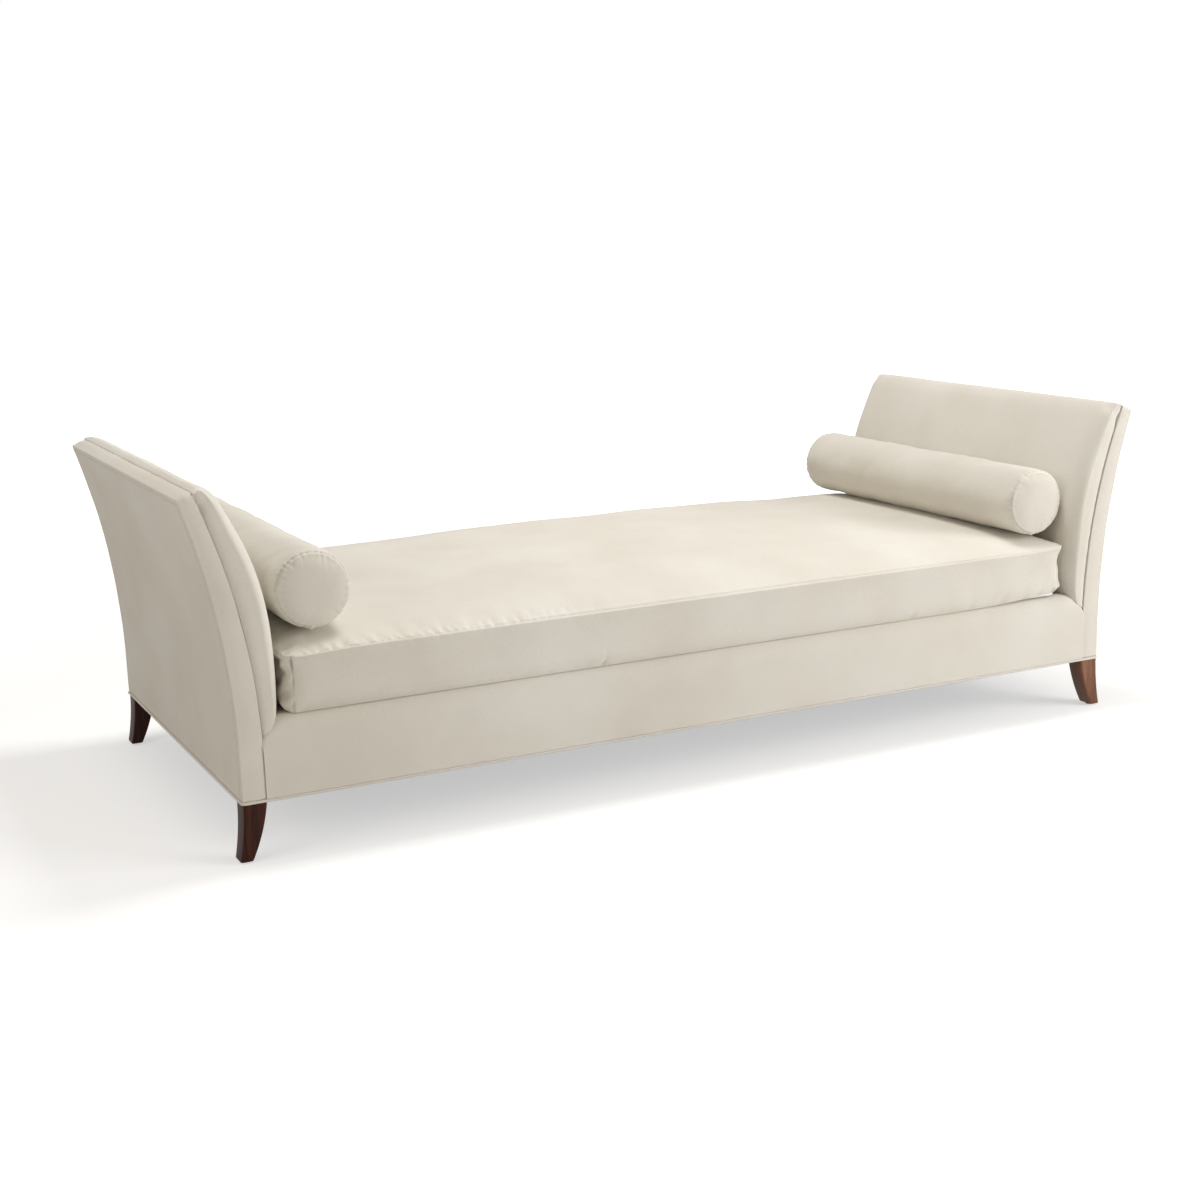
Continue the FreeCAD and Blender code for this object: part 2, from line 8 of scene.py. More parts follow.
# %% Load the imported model
import math
import bmesh
import bpy
import numpy as np
from mathutils import Matrix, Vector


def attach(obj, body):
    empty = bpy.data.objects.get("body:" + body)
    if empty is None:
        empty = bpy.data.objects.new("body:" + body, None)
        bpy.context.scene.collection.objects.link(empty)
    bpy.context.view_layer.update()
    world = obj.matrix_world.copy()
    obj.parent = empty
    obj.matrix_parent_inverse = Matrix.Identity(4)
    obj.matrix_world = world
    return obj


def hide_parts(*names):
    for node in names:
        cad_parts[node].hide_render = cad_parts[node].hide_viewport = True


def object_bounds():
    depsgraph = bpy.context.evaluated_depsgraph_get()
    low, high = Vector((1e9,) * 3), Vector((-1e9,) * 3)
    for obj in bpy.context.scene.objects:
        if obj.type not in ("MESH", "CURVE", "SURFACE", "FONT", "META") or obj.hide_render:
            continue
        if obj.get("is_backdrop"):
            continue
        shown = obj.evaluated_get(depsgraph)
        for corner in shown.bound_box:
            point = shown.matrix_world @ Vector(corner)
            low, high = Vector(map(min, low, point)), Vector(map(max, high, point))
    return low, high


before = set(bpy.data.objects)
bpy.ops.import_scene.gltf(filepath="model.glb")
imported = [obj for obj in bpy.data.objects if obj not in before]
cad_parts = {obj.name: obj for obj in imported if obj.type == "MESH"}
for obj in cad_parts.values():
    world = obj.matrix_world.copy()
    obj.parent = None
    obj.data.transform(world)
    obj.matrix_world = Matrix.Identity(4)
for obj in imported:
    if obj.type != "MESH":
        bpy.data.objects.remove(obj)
cad_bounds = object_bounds()

# %% [markdown]
# ## Sizes
# The arm has two flared faces in section: one is the seam between its inside pad and its band, the
# other is its outside. Each stands plumb up to 200 mm and then follows an arc outwards. Both are
# needed by many pieces, so they come first.

# %% Main sizes, in metres
FACE_Y = 0.457  # front and back faces, from the middle
SKIN_LOW = 0.1182  # foot of every covering, on the welt
DECK_TOP = 0.2685
FLARE_START = 0.2
BASE_END, OUT_TOP, OUT_TOP_Z = 1.013, 1.092, 0.682  # outside of an arm: its foot, its top corner
SEAM_FOOT, SEAM_TOP, SEAM_TOP_Z = 0.967, 1.063, 0.692  # seam of pad and band: its foot, its top
CLOTH = 0.0024  # thickness of a covering


def flare(foot_x, top_x, top_z):
    """The arc that starts plumb at foot_x and passes through its top corner, as x for a given z."""
    run, rise = top_x - foot_x, top_z - FLARE_START
    radius = (rise ** 2 + run ** 2) / (2 * run)
    return lambda z: foot_x + radius - np.sqrt(radius ** 2 - np.maximum(z - FLARE_START, 0) ** 2)


outside_x = flare(BASE_END, OUT_TOP, OUT_TOP_Z)
seam_x = flare(SEAM_FOOT, SEAM_TOP, SEAM_TOP_Z)
print("arm thickness at the top", round(outside_x(OUT_TOP_Z) - seam_x(SEAM_TOP_Z), 4))

# %% [markdown]
# ## Helpers for cloth
# Upholstery is flat cloth that bends. A grid of points is the simplest model of it: rows one way,
# columns the other. Points lie close together at the seams, where the cloth rolls in, and further
# apart where it runs flat. Every covering gets a thickness, so that its mesh is a closed solid.

# %% Build a mesh, and grids with close rows at the seams
def build(name, points, faces, flat=None):
    """A smooth mesh object at the origin. flat is the cloth's own flat place, in metres: one pair
    for each point, or one for each face corner."""
    mesh = bpy.data.meshes.new(name)
    mesh.from_pydata(np.asarray(points, float).tolist(), [], faces)
    if flat is not None:
        flat = np.asarray(flat, np.float32)
        if len(flat) == len(points):
            flat = flat[[corner for face in faces for corner in face]]
        mesh.uv_layers.new(name="cloth").data.foreach_set("uv", flat.ravel())
    work = bmesh.new()
    work.from_mesh(mesh)
    bmesh.ops.recalc_face_normals(work, faces=work.faces)
    work.to_mesh(mesh)
    work.free()
    mesh.shade_smooth()
    piece = bpy.data.objects.new(name, mesh)
    bpy.context.scene.collection.objects.link(piece)
    return piece


def ticks(length, step, fine=(0.0, 0.0004, 0.001, 0.002, 0.0035, 0.006, 0.011)):
    """Distances from 0 to length, close together at both ends."""
    near = np.array(fine)
    count = max(1, int(round((length - 2 * near[-1]) / step)))
    middle = np.linspace(near[-1], length - near[-1], count + 1)
    return np.concatenate([near[:-1], middle, length - near[:-1][::-1]])


def travel(grid, axis):
    """Distance covered along each line of a grid of points."""
    steps = np.linalg.norm(np.diff(grid, axis=axis), axis=-1)
    return np.cumsum(np.insert(steps, 0, 0.0, axis=axis), axis=axis)


def normals(grid):
    """Unit normals of a grid of points."""
    cross = np.cross(np.gradient(grid, axis=0), np.gradient(grid, axis=1))
    return cross / np.maximum(np.linalg.norm(cross, axis=-1, keepdims=True), 1e-12)


def from_edge(grid, axis):
    """Distance of each point from the nearer end of its line."""
    along = travel(grid, axis)
    return np.minimum(along, along.max(axis=axis, keepdims=True) - along)


def from_rim(grid):
    """Distance of each point from the nearest of the grid's four edges."""
    return np.minimum(from_edge(grid, 0), from_edge(grid, 1))


def roll_in(distance, radius):
    """How far cloth has rolled in towards its seam at a distance from it."""
    short = radius - np.minimum(distance, radius)
    return radius - np.sqrt(np.maximum(radius ** 2 - short ** 2, 0.0))


# %% [markdown]
# Cloth is never quite even. One function gives the slow waves that padding leaves under it. The
# other gives the creases that run away from a seam, where the thread has drawn the cloth up: each
# crease has its own place, depth, slant and length. Both draw from seeded random numbers, so every
# run gives the same cloth.

# %% Unevenness and creases
def uneven(points, size, seed, waves=14):
    """Smooth waves about size long, mostly between -1 and 1."""
    draw = np.random.default_rng(seed)
    total = np.zeros(points.shape[:-1])
    for _ in range(waves):
        direction = draw.normal(size=3)
        direction *= 2 * math.pi / (size * draw.uniform(0.7, 1.5) * np.linalg.norm(direction))
        total += np.sin(points @ direction + draw.uniform(0, 2 * math.pi))
    return total / math.sqrt(waves)


def creases(along, away, span, spacing, reach, seed, width=0.3):
    """Depth from 0 to about 1 of creases that start at a seam: along it and away from it."""
    draw = np.random.default_rng(seed)
    total = np.zeros(np.broadcast(along, away).shape)
    place = span[0]
    while place < span[1]:
        depth, lean = draw.uniform(0.25, 1.0), draw.normal(0.0, 0.35)
        wide, far = spacing * width * draw.uniform(0.7, 1.4), reach * draw.uniform(0.5, 1.5)
        offset = along - place - lean * away
        total += depth * np.exp(-(offset / (wide + 0.25 * away)) ** 2 - away / far)
        place += spacing * draw.uniform(0.6, 1.5)
    return total


# %% [markdown]
# A covering is a grid on its outside, the same grid a few millimetres further in, and a rim that
# joins them. The rule that gives its place on the arm or the base differs from piece to piece, but
# this last step is the same for all of them. Round things are closed in another way: through rings
# of points, each joined to the next, with a flat face at both ends.

# %% Close grids and rings into pieces
def covering(name, outer, inner):
    """A closed piece between an outer and an inner grid of the same shape."""
    rows, columns = outer.shape[:2]
    count = rows * columns
    number = np.arange(count).reshape(rows, columns)
    quads = np.stack([number[:-1, :-1], number[1:, :-1], number[1:, 1:], number[:-1, 1:]], -1)
    quads = quads.reshape(-1, 4)
    faces = quads.tolist() + (quads[:, ::-1] + count).tolist()
    rim = [number[0, :-1], number[:-1, -1], number[-1, :0:-1], number[:0:-1, 0]]
    rim = np.concatenate(rim).tolist()
    faces += [(a, b, b + count, a + count) for a, b in zip(rim, rim[1:] + rim[:1])]
    flat = np.stack([travel(outer, 1), travel(outer, 0)], -1).reshape(-1, 2)
    points = np.concatenate([outer.reshape(-1, 3), inner.reshape(-1, 3)])
    return build(name, points, faces, np.concatenate([flat, flat]))


def ring_quads(number):
    """Quads between neighbouring rings, from a table with one row of point numbers for each ring."""
    beside = np.roll(number, -1, 1)
    return np.stack([number[:-1], number[1:], beside[1:], beside[:-1]], -1).reshape(-1, 4).tolist()


def ring_faces(number):
    """The same quads, and one flat face over each end."""
    return ring_quads(number) + [number[0].tolist(), number[-1][::-1].tolist()]


def loft(name, rings):
    """A closed piece through rings of points."""
    points = np.array(rings, float)
    number = np.arange(points[..., 0].size).reshape(points.shape[:2])
    return build(name, points.reshape(-1, 3), ring_faces(number))


# %% [markdown]
# Some steps work on a finished mesh: they read its points as one array, move them and write them
# back. A number kept on each point, such as its distance from a seam, survives a subdivision, so
# it can still be asked for on the finer mesh.

# %% Read, change and refine a mesh
def read(mesh, kind):
    """The places ("co") or directions ("normal") of a mesh's points."""
    values = np.empty(len(mesh.vertices) * 3)
    mesh.vertices.foreach_get(kind, values)
    return values.reshape(-1, 3)


def set_places(piece, points):
    piece.data.vertices.foreach_set("co", np.asarray(points, np.float64).ravel())
    piece.data.update()


def keep_values(piece, **values):
    """Store numbers on the points."""
    for name, numbers in values.items():
        stored = piece.data.attributes.new(name, "FLOAT", "POINT")
        stored.data.foreach_set("value", np.asarray(numbers, np.float32).ravel())


def take_values(piece, *names):
    """Read stored numbers back, one array for each name."""
    found = []
    for name in names:
        numbers = np.empty(len(piece.data.vertices), np.float32)
        piece.data.attributes[name].data.foreach_get("value", numbers)
        found.append(numbers.astype(float))
    return found


def drop_values(piece, *names):
    for name in names:
        piece.data.attributes.remove(piece.data.attributes[name])


def settle(piece):
    """Make what the modifiers show the piece's own mesh, and remove them."""
    graph = bpy.context.evaluated_depsgraph_get()
    piece_now = piece.evaluated_get(graph)
    mesh = bpy.data.meshes.new_from_object(piece_now, depsgraph=graph)
    piece.modifiers.clear()
    piece.data = mesh
    mesh.name = piece.name


def refine(piece):
    """Subdivide once, so that what follows works on a finer mesh."""
    piece.modifiers.new("Finer", "SUBSURF").levels = 1
    settle(piece)


# %% [markdown]
# A filled cover can be drawn by hand, but a simulation finds by itself how tight cloth bulges
# between its seams. Blender's cloth with air pressure inside does that in a few frames. Gravity is
# off, because the filling carries the cloth. No point may move further than a cap, so the cover
# keeps its cut size and stays clear of its neighbours. Then the result is kept as a plain mesh.

# %% Fill a cover by simulation
def swell(piece, cap, pinned, pressure, frames=20, stiffness=12.0):
    """Blow a closed cover up as cloth, with some points pinned. A point keeps at most cap metres
    of its move; cap is one number, or one for each point."""
    start = read(piece.data, "co")
    # The group has to exist before the settings name it, or else nothing is pinned.
    group = piece.vertex_groups.new(name="held")
    group.add([int(i) for i in np.flatnonzero(pinned)], 1.0, "REPLACE")
    cloth = piece.modifiers.new("Cloth", "CLOTH")
    settings = cloth.settings
    for name, value in (("quality", 4), ("mass", 0.3), ("tension_stiffness", stiffness),
                        ("compression_stiffness", stiffness), ("shear_stiffness", stiffness / 2),
                        ("bending_stiffness", 0.4), ("use_pressure", True),
                        ("uniform_pressure_force", pressure), ("vertex_group_mass", "held")):
        setattr(settings, name, value)
    settings.effector_weights.gravity = 0.0
    cloth.point_cache.frame_start, cloth.point_cache.frame_end = 1, frames
    scene = bpy.context.scene
    for moment in range(1, frames + 1):
        scene.frame_set(moment)
    graph = bpy.context.evaluated_depsgraph_get()
    move = read(piece.evaluated_get(graph).data, "co") - start
    length = np.maximum(np.linalg.norm(move, axis=1, keepdims=True), 1e-9)
    piece.modifiers.remove(cloth)
    piece.vertex_groups.clear()
    scene.frame_set(1)
    set_places(piece, start + move * (cap * np.tanh(length / cap) / length))
    print(piece.name, "moved up to mm", round(float(length.max()) * 1000, 1))


# %% [markdown]
# ## Camera
# The divan is seen from its front left, from a little above, with a lens a bit longer than normal.
# The numbers come from matching the corners of the base and arms. The camera leans slightly, as the
# picture it follows does.

# %% Camera
YAW, PITCH, LEAN = (math.radians(degrees) for degrees in (-26.685, 12.471, -1.452))
CAMERA_AT, LENS_MM, SENSOR_MM = (-1.8381, -3.5738, 1.179), 54.378, 36.0
ahead = np.array([-math.sin(YAW) * math.cos(PITCH), math.cos(YAW) * math.cos(PITCH), -math.sin(PITCH)])
level = np.array([math.cos(YAW), math.sin(YAW), 0.0])
upward = np.cross(level, ahead)
right = math.cos(LEAN) * level + math.sin(LEAN) * upward
above = -math.sin(LEAN) * level + math.cos(LEAN) * upward
camera_data = bpy.data.cameras.new("camera")
camera_data.sensor_fit, camera_data.sensor_width, camera_data.lens = "HORIZONTAL", SENSOR_MM, LENS_MM
camera = bpy.data.objects.new("camera", camera_data)
bpy.context.scene.collection.objects.link(camera)
turned = Matrix((right, above, -ahead)).transposed().to_4x4()
camera.matrix_world = Matrix.Translation(CAMERA_AT) @ turned
bpy.context.scene.camera = camera
print("camera at", [round(v, 3) for v in camera.location])

# %% [markdown]
# ## Materials
# A colour is picked as it looks on a screen, in sRGB, while shaders count in linear light. One
# function turns the first into the second. Another adds a node with its settings and its links, so
# that each material below reads as a short list.

# %% Colour and node helpers
def colour(code):
    """A hex colour as linear values."""
    parts = [int(code[i:i + 2], 16) / 255 for i in (1, 3, 5)]
    return tuple(c / 12.92 if c <= 0.04045 else ((c + 0.055) / 1.055) ** 2.4 for c in parts) + (1.0,)


def add(tree, kind, inputs=None, **settings):
    """One node. An input is a plain value, or a pair of a node and its output's name or number."""
    made = tree.nodes.new(kind)
    for name, value in settings.items():
        setattr(made, name, value)
    for name, value in (inputs or {}).items():
        if isinstance(value, tuple) and isinstance(value[0], bpy.types.Node):
            tree.links.new(value[0].outputs[value[1]], made.inputs[name])
        else:
            made.inputs[name].default_value = value
    return made


def new_material(name):
    """An empty material, its tree and the object's coordinates."""
    material = bpy.data.materials.new(name)
    material.use_nodes = True
    material.node_tree.nodes.clear()
    return material, material.node_tree, add(material.node_tree, "ShaderNodeTexCoord")


def finish(material, inputs):
    """The material with its shader made from the given inputs."""
    shader = add(material.node_tree, "ShaderNodeBsdfPrincipled", inputs)
    add(material.node_tree, "ShaderNodeOutputMaterial", {"Surface": (shader, "BSDF")})
    return material


def noise(tree, source, scale, detail, **more):
    """A noise pattern, read at a node's output."""
    return add(tree, "ShaderNodeTexNoise", {"Vector": source, "Scale": scale, "Detail": detail, **more})


def spread(tree, source, low, high, to_low, to_high, **settings):
    """A value between low and high, spread over another range."""
    return add(tree, "ShaderNodeMapRange", {"Value": source, "From Min": low, "From Max": high,
                                            "To Min": to_low, "To Max": to_high}, **settings)


def math_of(tree, operation, *sources):
    """One sum of plain values or node outputs."""
    return add(tree, "ShaderNodeMath", dict(enumerate(sources)), operation=operation)


def tones_of(tree, source, *stops):
    """A colour ramp, with its stops given as place and hex colour."""
    made = add(tree, "ShaderNodeValToRGB", {"Fac": source})
    ramp = made.color_ramp.elements
    for element, (place, code) in zip(ramp, (stops[0], stops[-1])):
        element.position, element.color = place, colour(code)
    for place, code in stops[1:-1]:
        ramp.new(place).color = colour(code)
    return made


def darkened(tree, tones, by):
    """Colours multiplied by a pattern of grey."""
    return add(tree, "ShaderNodeMix", {"Factor": 1.0, "A": (tones, "Color"), "B": (by, "Result")},
               data_type="RGBA", blend_type="MULTIPLY")


# %% [markdown]
# ### Brushed cotton
# The cover is a heavy cotton, woven plain and brushed on its face. The eye gets an even cream with
# hardly any shine, a pale bloom where it turns away, and faint clouds where the nap lies another
# way. Its threads are about 0.4 mm apart, too fine for the picture, so they are drawn 1.2 mm apart
# and shallow. The weave reads the cloth's own flat coordinates, so it follows every curve.

# %% Brushed cotton for the covers
THREAD = 0.0012


def woven(name, base, shade, thread=THREAD, rough=0.9, bloom=0.35, relief=0.12, cloud=3.5):
    """A plain-woven cloth: two tones in slow clouds, a thread pattern and a fine nap."""
    material, tree, seat = new_material(name)
    clouds = noise(tree, (seat, "Object"), cloud, 3.0, Roughness=0.55)
    nap = noise(tree, (seat, "Object"), 0.35 / thread, 3.0)
    tones = tones_of(tree, (clouds, "Fac"), (0.3, shade), (0.7, base))
    tinted = darkened(tree, tones, spread(tree, (nap, "Fac"), 0.3, 0.7, 0.965, 1.02))
    cloth = add(tree, "ShaderNodeUVMap", uv_map="cloth")
    turns = (2 * math.pi / thread,) * 3
    warp = add(tree, "ShaderNodeVectorMath", {0: (cloth, "UV"), 1: turns}, operation="MULTIPLY")
    split = add(tree, "ShaderNodeSeparateXYZ", {"Vector": (warp, "Vector")})
    across, down = (math_of(tree, "SINE", (split, axis)) for axis in "XY")
    weave = math_of(tree, "MULTIPLY", (across, 0), (down, 0))
    height = math_of(tree, "MULTIPLY_ADD", (weave, 0), 0.35, (nap, "Fac"))
    bump = add(tree, "ShaderNodeBump", {"Height": (height, 0), "Strength": relief, "Distance": thread * 0.5})
    return finish(material, {"Base Color": (tinted, "Result"), "Normal": (bump, "Normal"),
                             "Roughness": rough, "Specular IOR Level": 0.25, "Sheen Weight": bloom,
                             "Sheen Roughness": 0.5, "Sheen Tint": colour("#FFFDF6")})


cotton = woven("brushed_cotton", "#E4E0D7", "#D9D3C6")
print("cotton threads drawn at mm", THREAD * 1000)

# %% [markdown]
# ### Other cloths
# The deck is plain platform cloth in the same tone, a little flatter. Below the base is black
# non-woven polypropylene. Zip tape is a ribbed polyester, and the webbing a coarse elastic weave.
# The same recipe serves with its own thread size and tones.

# %% Other cloths
platform_cloth = woven("platform_cotton", "#D9D4C5", "#D0CABA", thread=0.0016, bloom=0.1)
dust_cloth = woven("nonwoven_polypropylene", "#2A2A2C", "#202022", thread=0.002, rough=0.95, bloom=0.1)
zip_tape_cloth = woven("polyester_zip_tape", "#D8D2C2", "#CFC9B8", thread=0.001, rough=0.8, bloom=0.05)
webbing_cloth = woven("elastic_webbing", "#3B3A38", "#2E2D2C", thread=0.003, rough=0.85, bloom=0.05)
felt = woven("needled_felt", "#8E8A82", "#77736C", thread=0.003, rough=1.0, bloom=0.2, relief=0.3,
             cloud=40.0)
print("cloths", [m.name for m in (platform_cloth, dust_cloth, zip_tape_cloth, webbing_cloth, felt)])

# %% [markdown]
# ### Walnut and hardwood
# The legs are walnut, stained dark and sealed with a satin lacquer. The grain runs down the leg, so
# a noise stretched along Z gives its figure, a finer one its pores. Growth rings are about 4 mm
# apart and make a figure some 16 mm wide; the pores are 0.3 mm wide and drawn at 0.8 mm. The right
# front leg gets a paler, shinier copy of the walnut: painted light, for the light that falls on it
# from the right. The hidden frame is plain beech with no finish.

# %% Walnut for the legs and beech for the frame
DOWN, ALONG = (1.0, 1.0, 0.12), (0.12, 1.0, 1.0)  # a pattern stretched along Z, or along X
PORE = 0.0008


def timber(name, ring, stretch, rough, shine, *stops):
    """Wood with its grain along the axis that stretch makes long."""
    material, tree, seat = new_material(name)
    long_way = add(tree, "ShaderNodeMapping", {"Vector": (seat, "Object"), "Scale": stretch})
    figure = noise(tree, (long_way, "Vector"), 1 / ring, 5.0, Roughness=0.6, Distortion=0.6)
    pores = noise(tree, (long_way, "Vector"), 1 / PORE, 2.0)
    dark = spread(tree, (pores, "Fac"), 0.35, 0.55, 0.72, 1.0)
    grained = darkened(tree, tones_of(tree, (figure, "Fac"), *stops), dark)
    bump = add(tree, "ShaderNodeBump", {"Height": (dark, "Result"), "Strength": 0.15, "Distance": 0.0003})
    return finish(material, {"Base Color": (grained, "Result"), "Normal": (bump, "Normal"),
                             "Roughness": rough, "Specular IOR Level": shine})


walnut = timber("stained_walnut", 0.016, DOWN, 0.5, 0.13,
                (0.25, "#190C08"), (0.5, "#341B12"), (0.78, "#573020"))
# A paler, shinier copy of the walnut for the right front leg: painted light from the right.
walnut_painted_lit = timber("stained_walnut_pale", 0.016, DOWN, 0.42, 0.3,
                     (0.25, "#523425"), (0.5, "#7A5038"), (0.78, "#9A6C50"))
beech = timber("raw_beech", 0.02, ALONG, 0.7, 0.3, (0.3, "#B98F63"), (0.7, "#D3AE80"))
print("timbers", [m.name for m in (walnut, walnut_painted_lit, beech)])

# %% [markdown]
# ### Foam, fibre, metal and nylon
# Polyurethane foam is open-celled, so it gets small pits. Polyester fibre is a loose cloud. Bolts
# and staples are zinc-plated steel with a dull, slightly patchy shine. The zip's slider is nickel
# plated, and the glides under the feet are moulded nylon.

# %% Foam, fibre, metal and nylon
def plain(name, base, shade, size, rough, metal=0.0, relief=0.2, bloom=0.0):
    """An even stuff with a fine grain of the given size in metres."""
    material, tree, seat = new_material(name)
    grain = noise(tree, (seat, "Object"), 1 / size, 4.0)
    tones = tones_of(tree, (grain, "Fac"), (0.3, shade), (0.7, base))
    patchy = spread(tree, (grain, "Fac"), 0.0, 1.0, rough * 0.85, min(1.0, rough * 1.15))
    bump = add(tree, "ShaderNodeBump", {"Height": (grain, "Fac"), "Strength": relief, "Distance": size * 0.3})
    return finish(material, {"Base Color": (tones, "Color"), "Roughness": (patchy, "Result"),
                             "Normal": (bump, "Normal"), "Metallic": metal, "Sheen Weight": bloom})


foam = plain("polyurethane_foam", "#E6DFC6", "#CFC6A8", 0.0025, 0.95, relief=0.6)
fibre = plain("polyester_fibre", "#F2F1EC", "#DEDDD7", 0.006, 1.0, relief=0.8, bloom=0.4)
zinc = plain("zinc_plated_steel", "#B9BCC0", "#A3A6AB", 0.004, 0.38, metal=1.0, relief=0.05)
nickel = plain("nickel_plated_zinc", "#C9C6BE", "#B5B2AA", 0.002, 0.25, metal=1.0, relief=0.03)
nylon = plain("moulded_nylon", "#2C2A28", "#242220", 0.003, 0.5, relief=0.08)
thread_cotton = plain("cotton_thread", "#E0DBCC", "#D2CCBC", 0.0006, 0.85, relief=0.3, bloom=0.2)
print("materials", len(bpy.data.materials))

# %% [markdown]
# A finished piece gets its material and the body it moves with, and the imported piece it stands
# for is hidden. Most covers are padded cotton, so they share one more step.

# %% Dress a finished piece
def dress(piece, material, body, slot, *nodes):
    """Give a finished piece its material and its body, and hide the nodes it stands for. slot is not used."""
    piece.data.materials.clear()
    piece.data.materials.append(material)
    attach(piece, body)
    if nodes:
        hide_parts(*nodes)
    return piece


def cover(piece, body, node):
    """Dress a padded cotton cover."""
    dress(piece, cotton, body, "cover_cotton", node)
    print(piece.name, len(piece.data.vertices), "points")


# %% [markdown]
# ## Base
# The front and back of the base are one piece of padded cloth each: plumb from the welt up, then
# over a foam edge roll onto the deck. Towards each arm the upper edge dives under the arm's pad, so
# the rolled edge sinks there. A grid fits: columns along the length, rows from the welt up and over.

# %% Front and back borders
PAD_LOW = 0.236  # foot of the arms' pads
BORDER_END, DIVE_START = 0.9671, 0.915  # the border's end, and where its upper edge starts to dive
EDGE_RADIUS, EDGE_DROP = 0.026, 0.0012  # the rolled edge, and how far its top is below the deck's
TUCKED = (0.003, 0.007, 0.012, 0.0166)  # rows on the deck, behind the rolled edge


def border(name, side, seed):
    """One border. side is -1 at the front and 1 at the back."""
    x = ticks(2 * BORDER_END, 0.02) - BORDER_END
    sink = np.clip((np.abs(x) - DIVE_START) / (BORDER_END - DIVE_START), 0, 1)
    top = DECK_TOP - (DECK_TOP - PAD_LOW) * (1 - np.sqrt(1 - sink ** 2 * 0.999)) - EDGE_DROP
    low_turn = top - EDGE_RADIUS
    up = ticks(1.0, 0.09, (0.0, 0.003, 0.008, 0.018, 0.035, 0.06))[:-5]
    rows = [(FACE_Y, SKIN_LOW + share * (low_turn - SKIN_LOW)) for share in up]
    rows += [(FACE_Y - EDGE_RADIUS * (1 - math.cos(angle)), low_turn + EDGE_RADIUS * math.sin(angle))
             for angle in np.radians(np.linspace(9, 90, 10))]
    rows += [(FACE_Y - EDGE_RADIUS - back, top) for back in TUCKED]
    grid = np.empty((len(rows), len(x), 3))
    grid[..., 0] = x
    for number, (y, z) in enumerate(rows):
        grid[number, :, 1], grid[number, :, 2] = side * y, z
    out = normals(grid) * -side
    ends, foot = from_edge(grid, 1), travel(grid, 0)
    soft = 0.0009 * uneven(grid, 0.28, seed) + 0.0004 * uneven(grid, 0.09, seed + 1)
    soft *= np.minimum(1, np.minimum(ends, foot) / 0.03)
    pulls = creases(grid[..., 0], foot, (-BORDER_END, BORDER_END), 0.09, 0.03, seed + 2, 0.12)
    sunk = np.maximum(roll_in(ends, 0.0006), roll_in(foot, 0.0022)) + 0.0005 * pulls
    return covering(name, grid + out * (soft - sunk)[..., None], grid - out * CLOTH)


for end, side, seed in (("front", -1, 11), ("back", 1, 21)):
    cover(border(end + "_border_cover", side, seed), "frame", end + "_border")

# %% [markdown]
# ## Welt and deck
# Round the foot of the base runs a piped welt: a cord in a strip of the cover. It is a tube along a
# rectangle with small round corners, with the slight unevenness of a sewn strip. On top, platform
# cloth covers the springs. It only shows when the mattress is lifted.

# %% Piped welt
WELT_Z, WELT_RADIUS, WELT_CORNER, WELT_SIDES = 0.115, 0.003, 0.007, 14


def round_rectangle(half_x, half_y, radius, step):
    """Points round a rectangle with round corners, and the outward direction at each."""
    spots, outs = [], []
    for corner, (sx, sy) in enumerate(((1, -1), (1, 1), (-1, 1), (-1, -1))):
        for angle in np.radians(np.linspace(-90, 0, 7) + 90 * corner):
            out = np.array([math.cos(angle), math.sin(angle)])
            spots.append(np.array([sx * (half_x - radius), sy * (half_y - radius)]) + radius * out)
            outs.append(out)
    full, full_out = [], []
    for spot, following, out in zip(spots, spots[1:] + spots[:1], outs):
        count = max(1, int(np.linalg.norm(following - spot) / step))
        for part in range(count):
            full.append(spot + (following - spot) * part / count)
            full_out.append(out)
    return np.array(full), np.array(full_out)


def welt_tube(name, seed):
    """A slightly uneven tube round the foot of the base."""
    line, outs = round_rectangle(BASE_END, FACE_Y, WELT_CORNER, 0.012)
    turn = np.linspace(0, 2 * math.pi, WELT_SIDES, endpoint=False)
    centre = np.concatenate([line, np.full((len(line), 1), WELT_Z)], 1)
    out = np.concatenate([outs, np.zeros((len(line), 1))], 1)[:, None]
    size = WELT_RADIUS * (1 + 0.04 * uneven(centre, 0.02, seed))
    ring = out * np.cos(turn)[:, None] + np.array([0, 0, 1.0]) * np.sin(turn)[:, None]
    number = np.arange(len(line) * WELT_SIDES).reshape(-1, WELT_SIDES)
    run = travel(line, 0)
    flat = np.stack(np.broadcast_arrays(run[:, None], turn * WELT_RADIUS), -1).reshape(-1, 2)
    points = centre[:, None] + size[:, None, None] * ring
    return build(name, points.reshape(-1, 3), ring_quads(np.concatenate([number, number[:1]])), flat)


cover(welt_tube("base_welt_piping", 31), "frame", "base_welt")

# %% Deck cover of platform cloth
DECK_X, DECK_Y, DECK_CLOTH = 1.844, 0.8272, 0.0015
UP = np.array([0, 0, 1.0])
x, y = ticks(DECK_X, 0.025) - DECK_X / 2, ticks(DECK_Y, 0.025) - DECK_Y / 2
grid = np.stack([*np.meshgrid(x, y), np.full((len(y), len(x)), DECK_TOP)], -1)
dip = 0.0006 * (1 + uneven(grid, 0.2, 41)) * np.minimum(1, from_rim(grid) / 0.05)
dip += roll_in(from_rim(grid), 0.001)
deck = covering("deck_platform", grid - dip[..., None] * UP, grid - DECK_CLOTH * UP)
dress(deck, platform_cloth, "frame", "platform_cloth", "deck_cover")
print("deck", len(deck.data.vertices), "points")

# %% [markdown]
# ## Dust cover
# A sheet of black non-woven cloth is stapled under the base and cut out round the legs. Between its
# staples it hangs a few millimetres. Rows and columns fall on the cut-outs, and their cells are
# left out. The staples are one small shape that Geometry Nodes repeats round the edge.

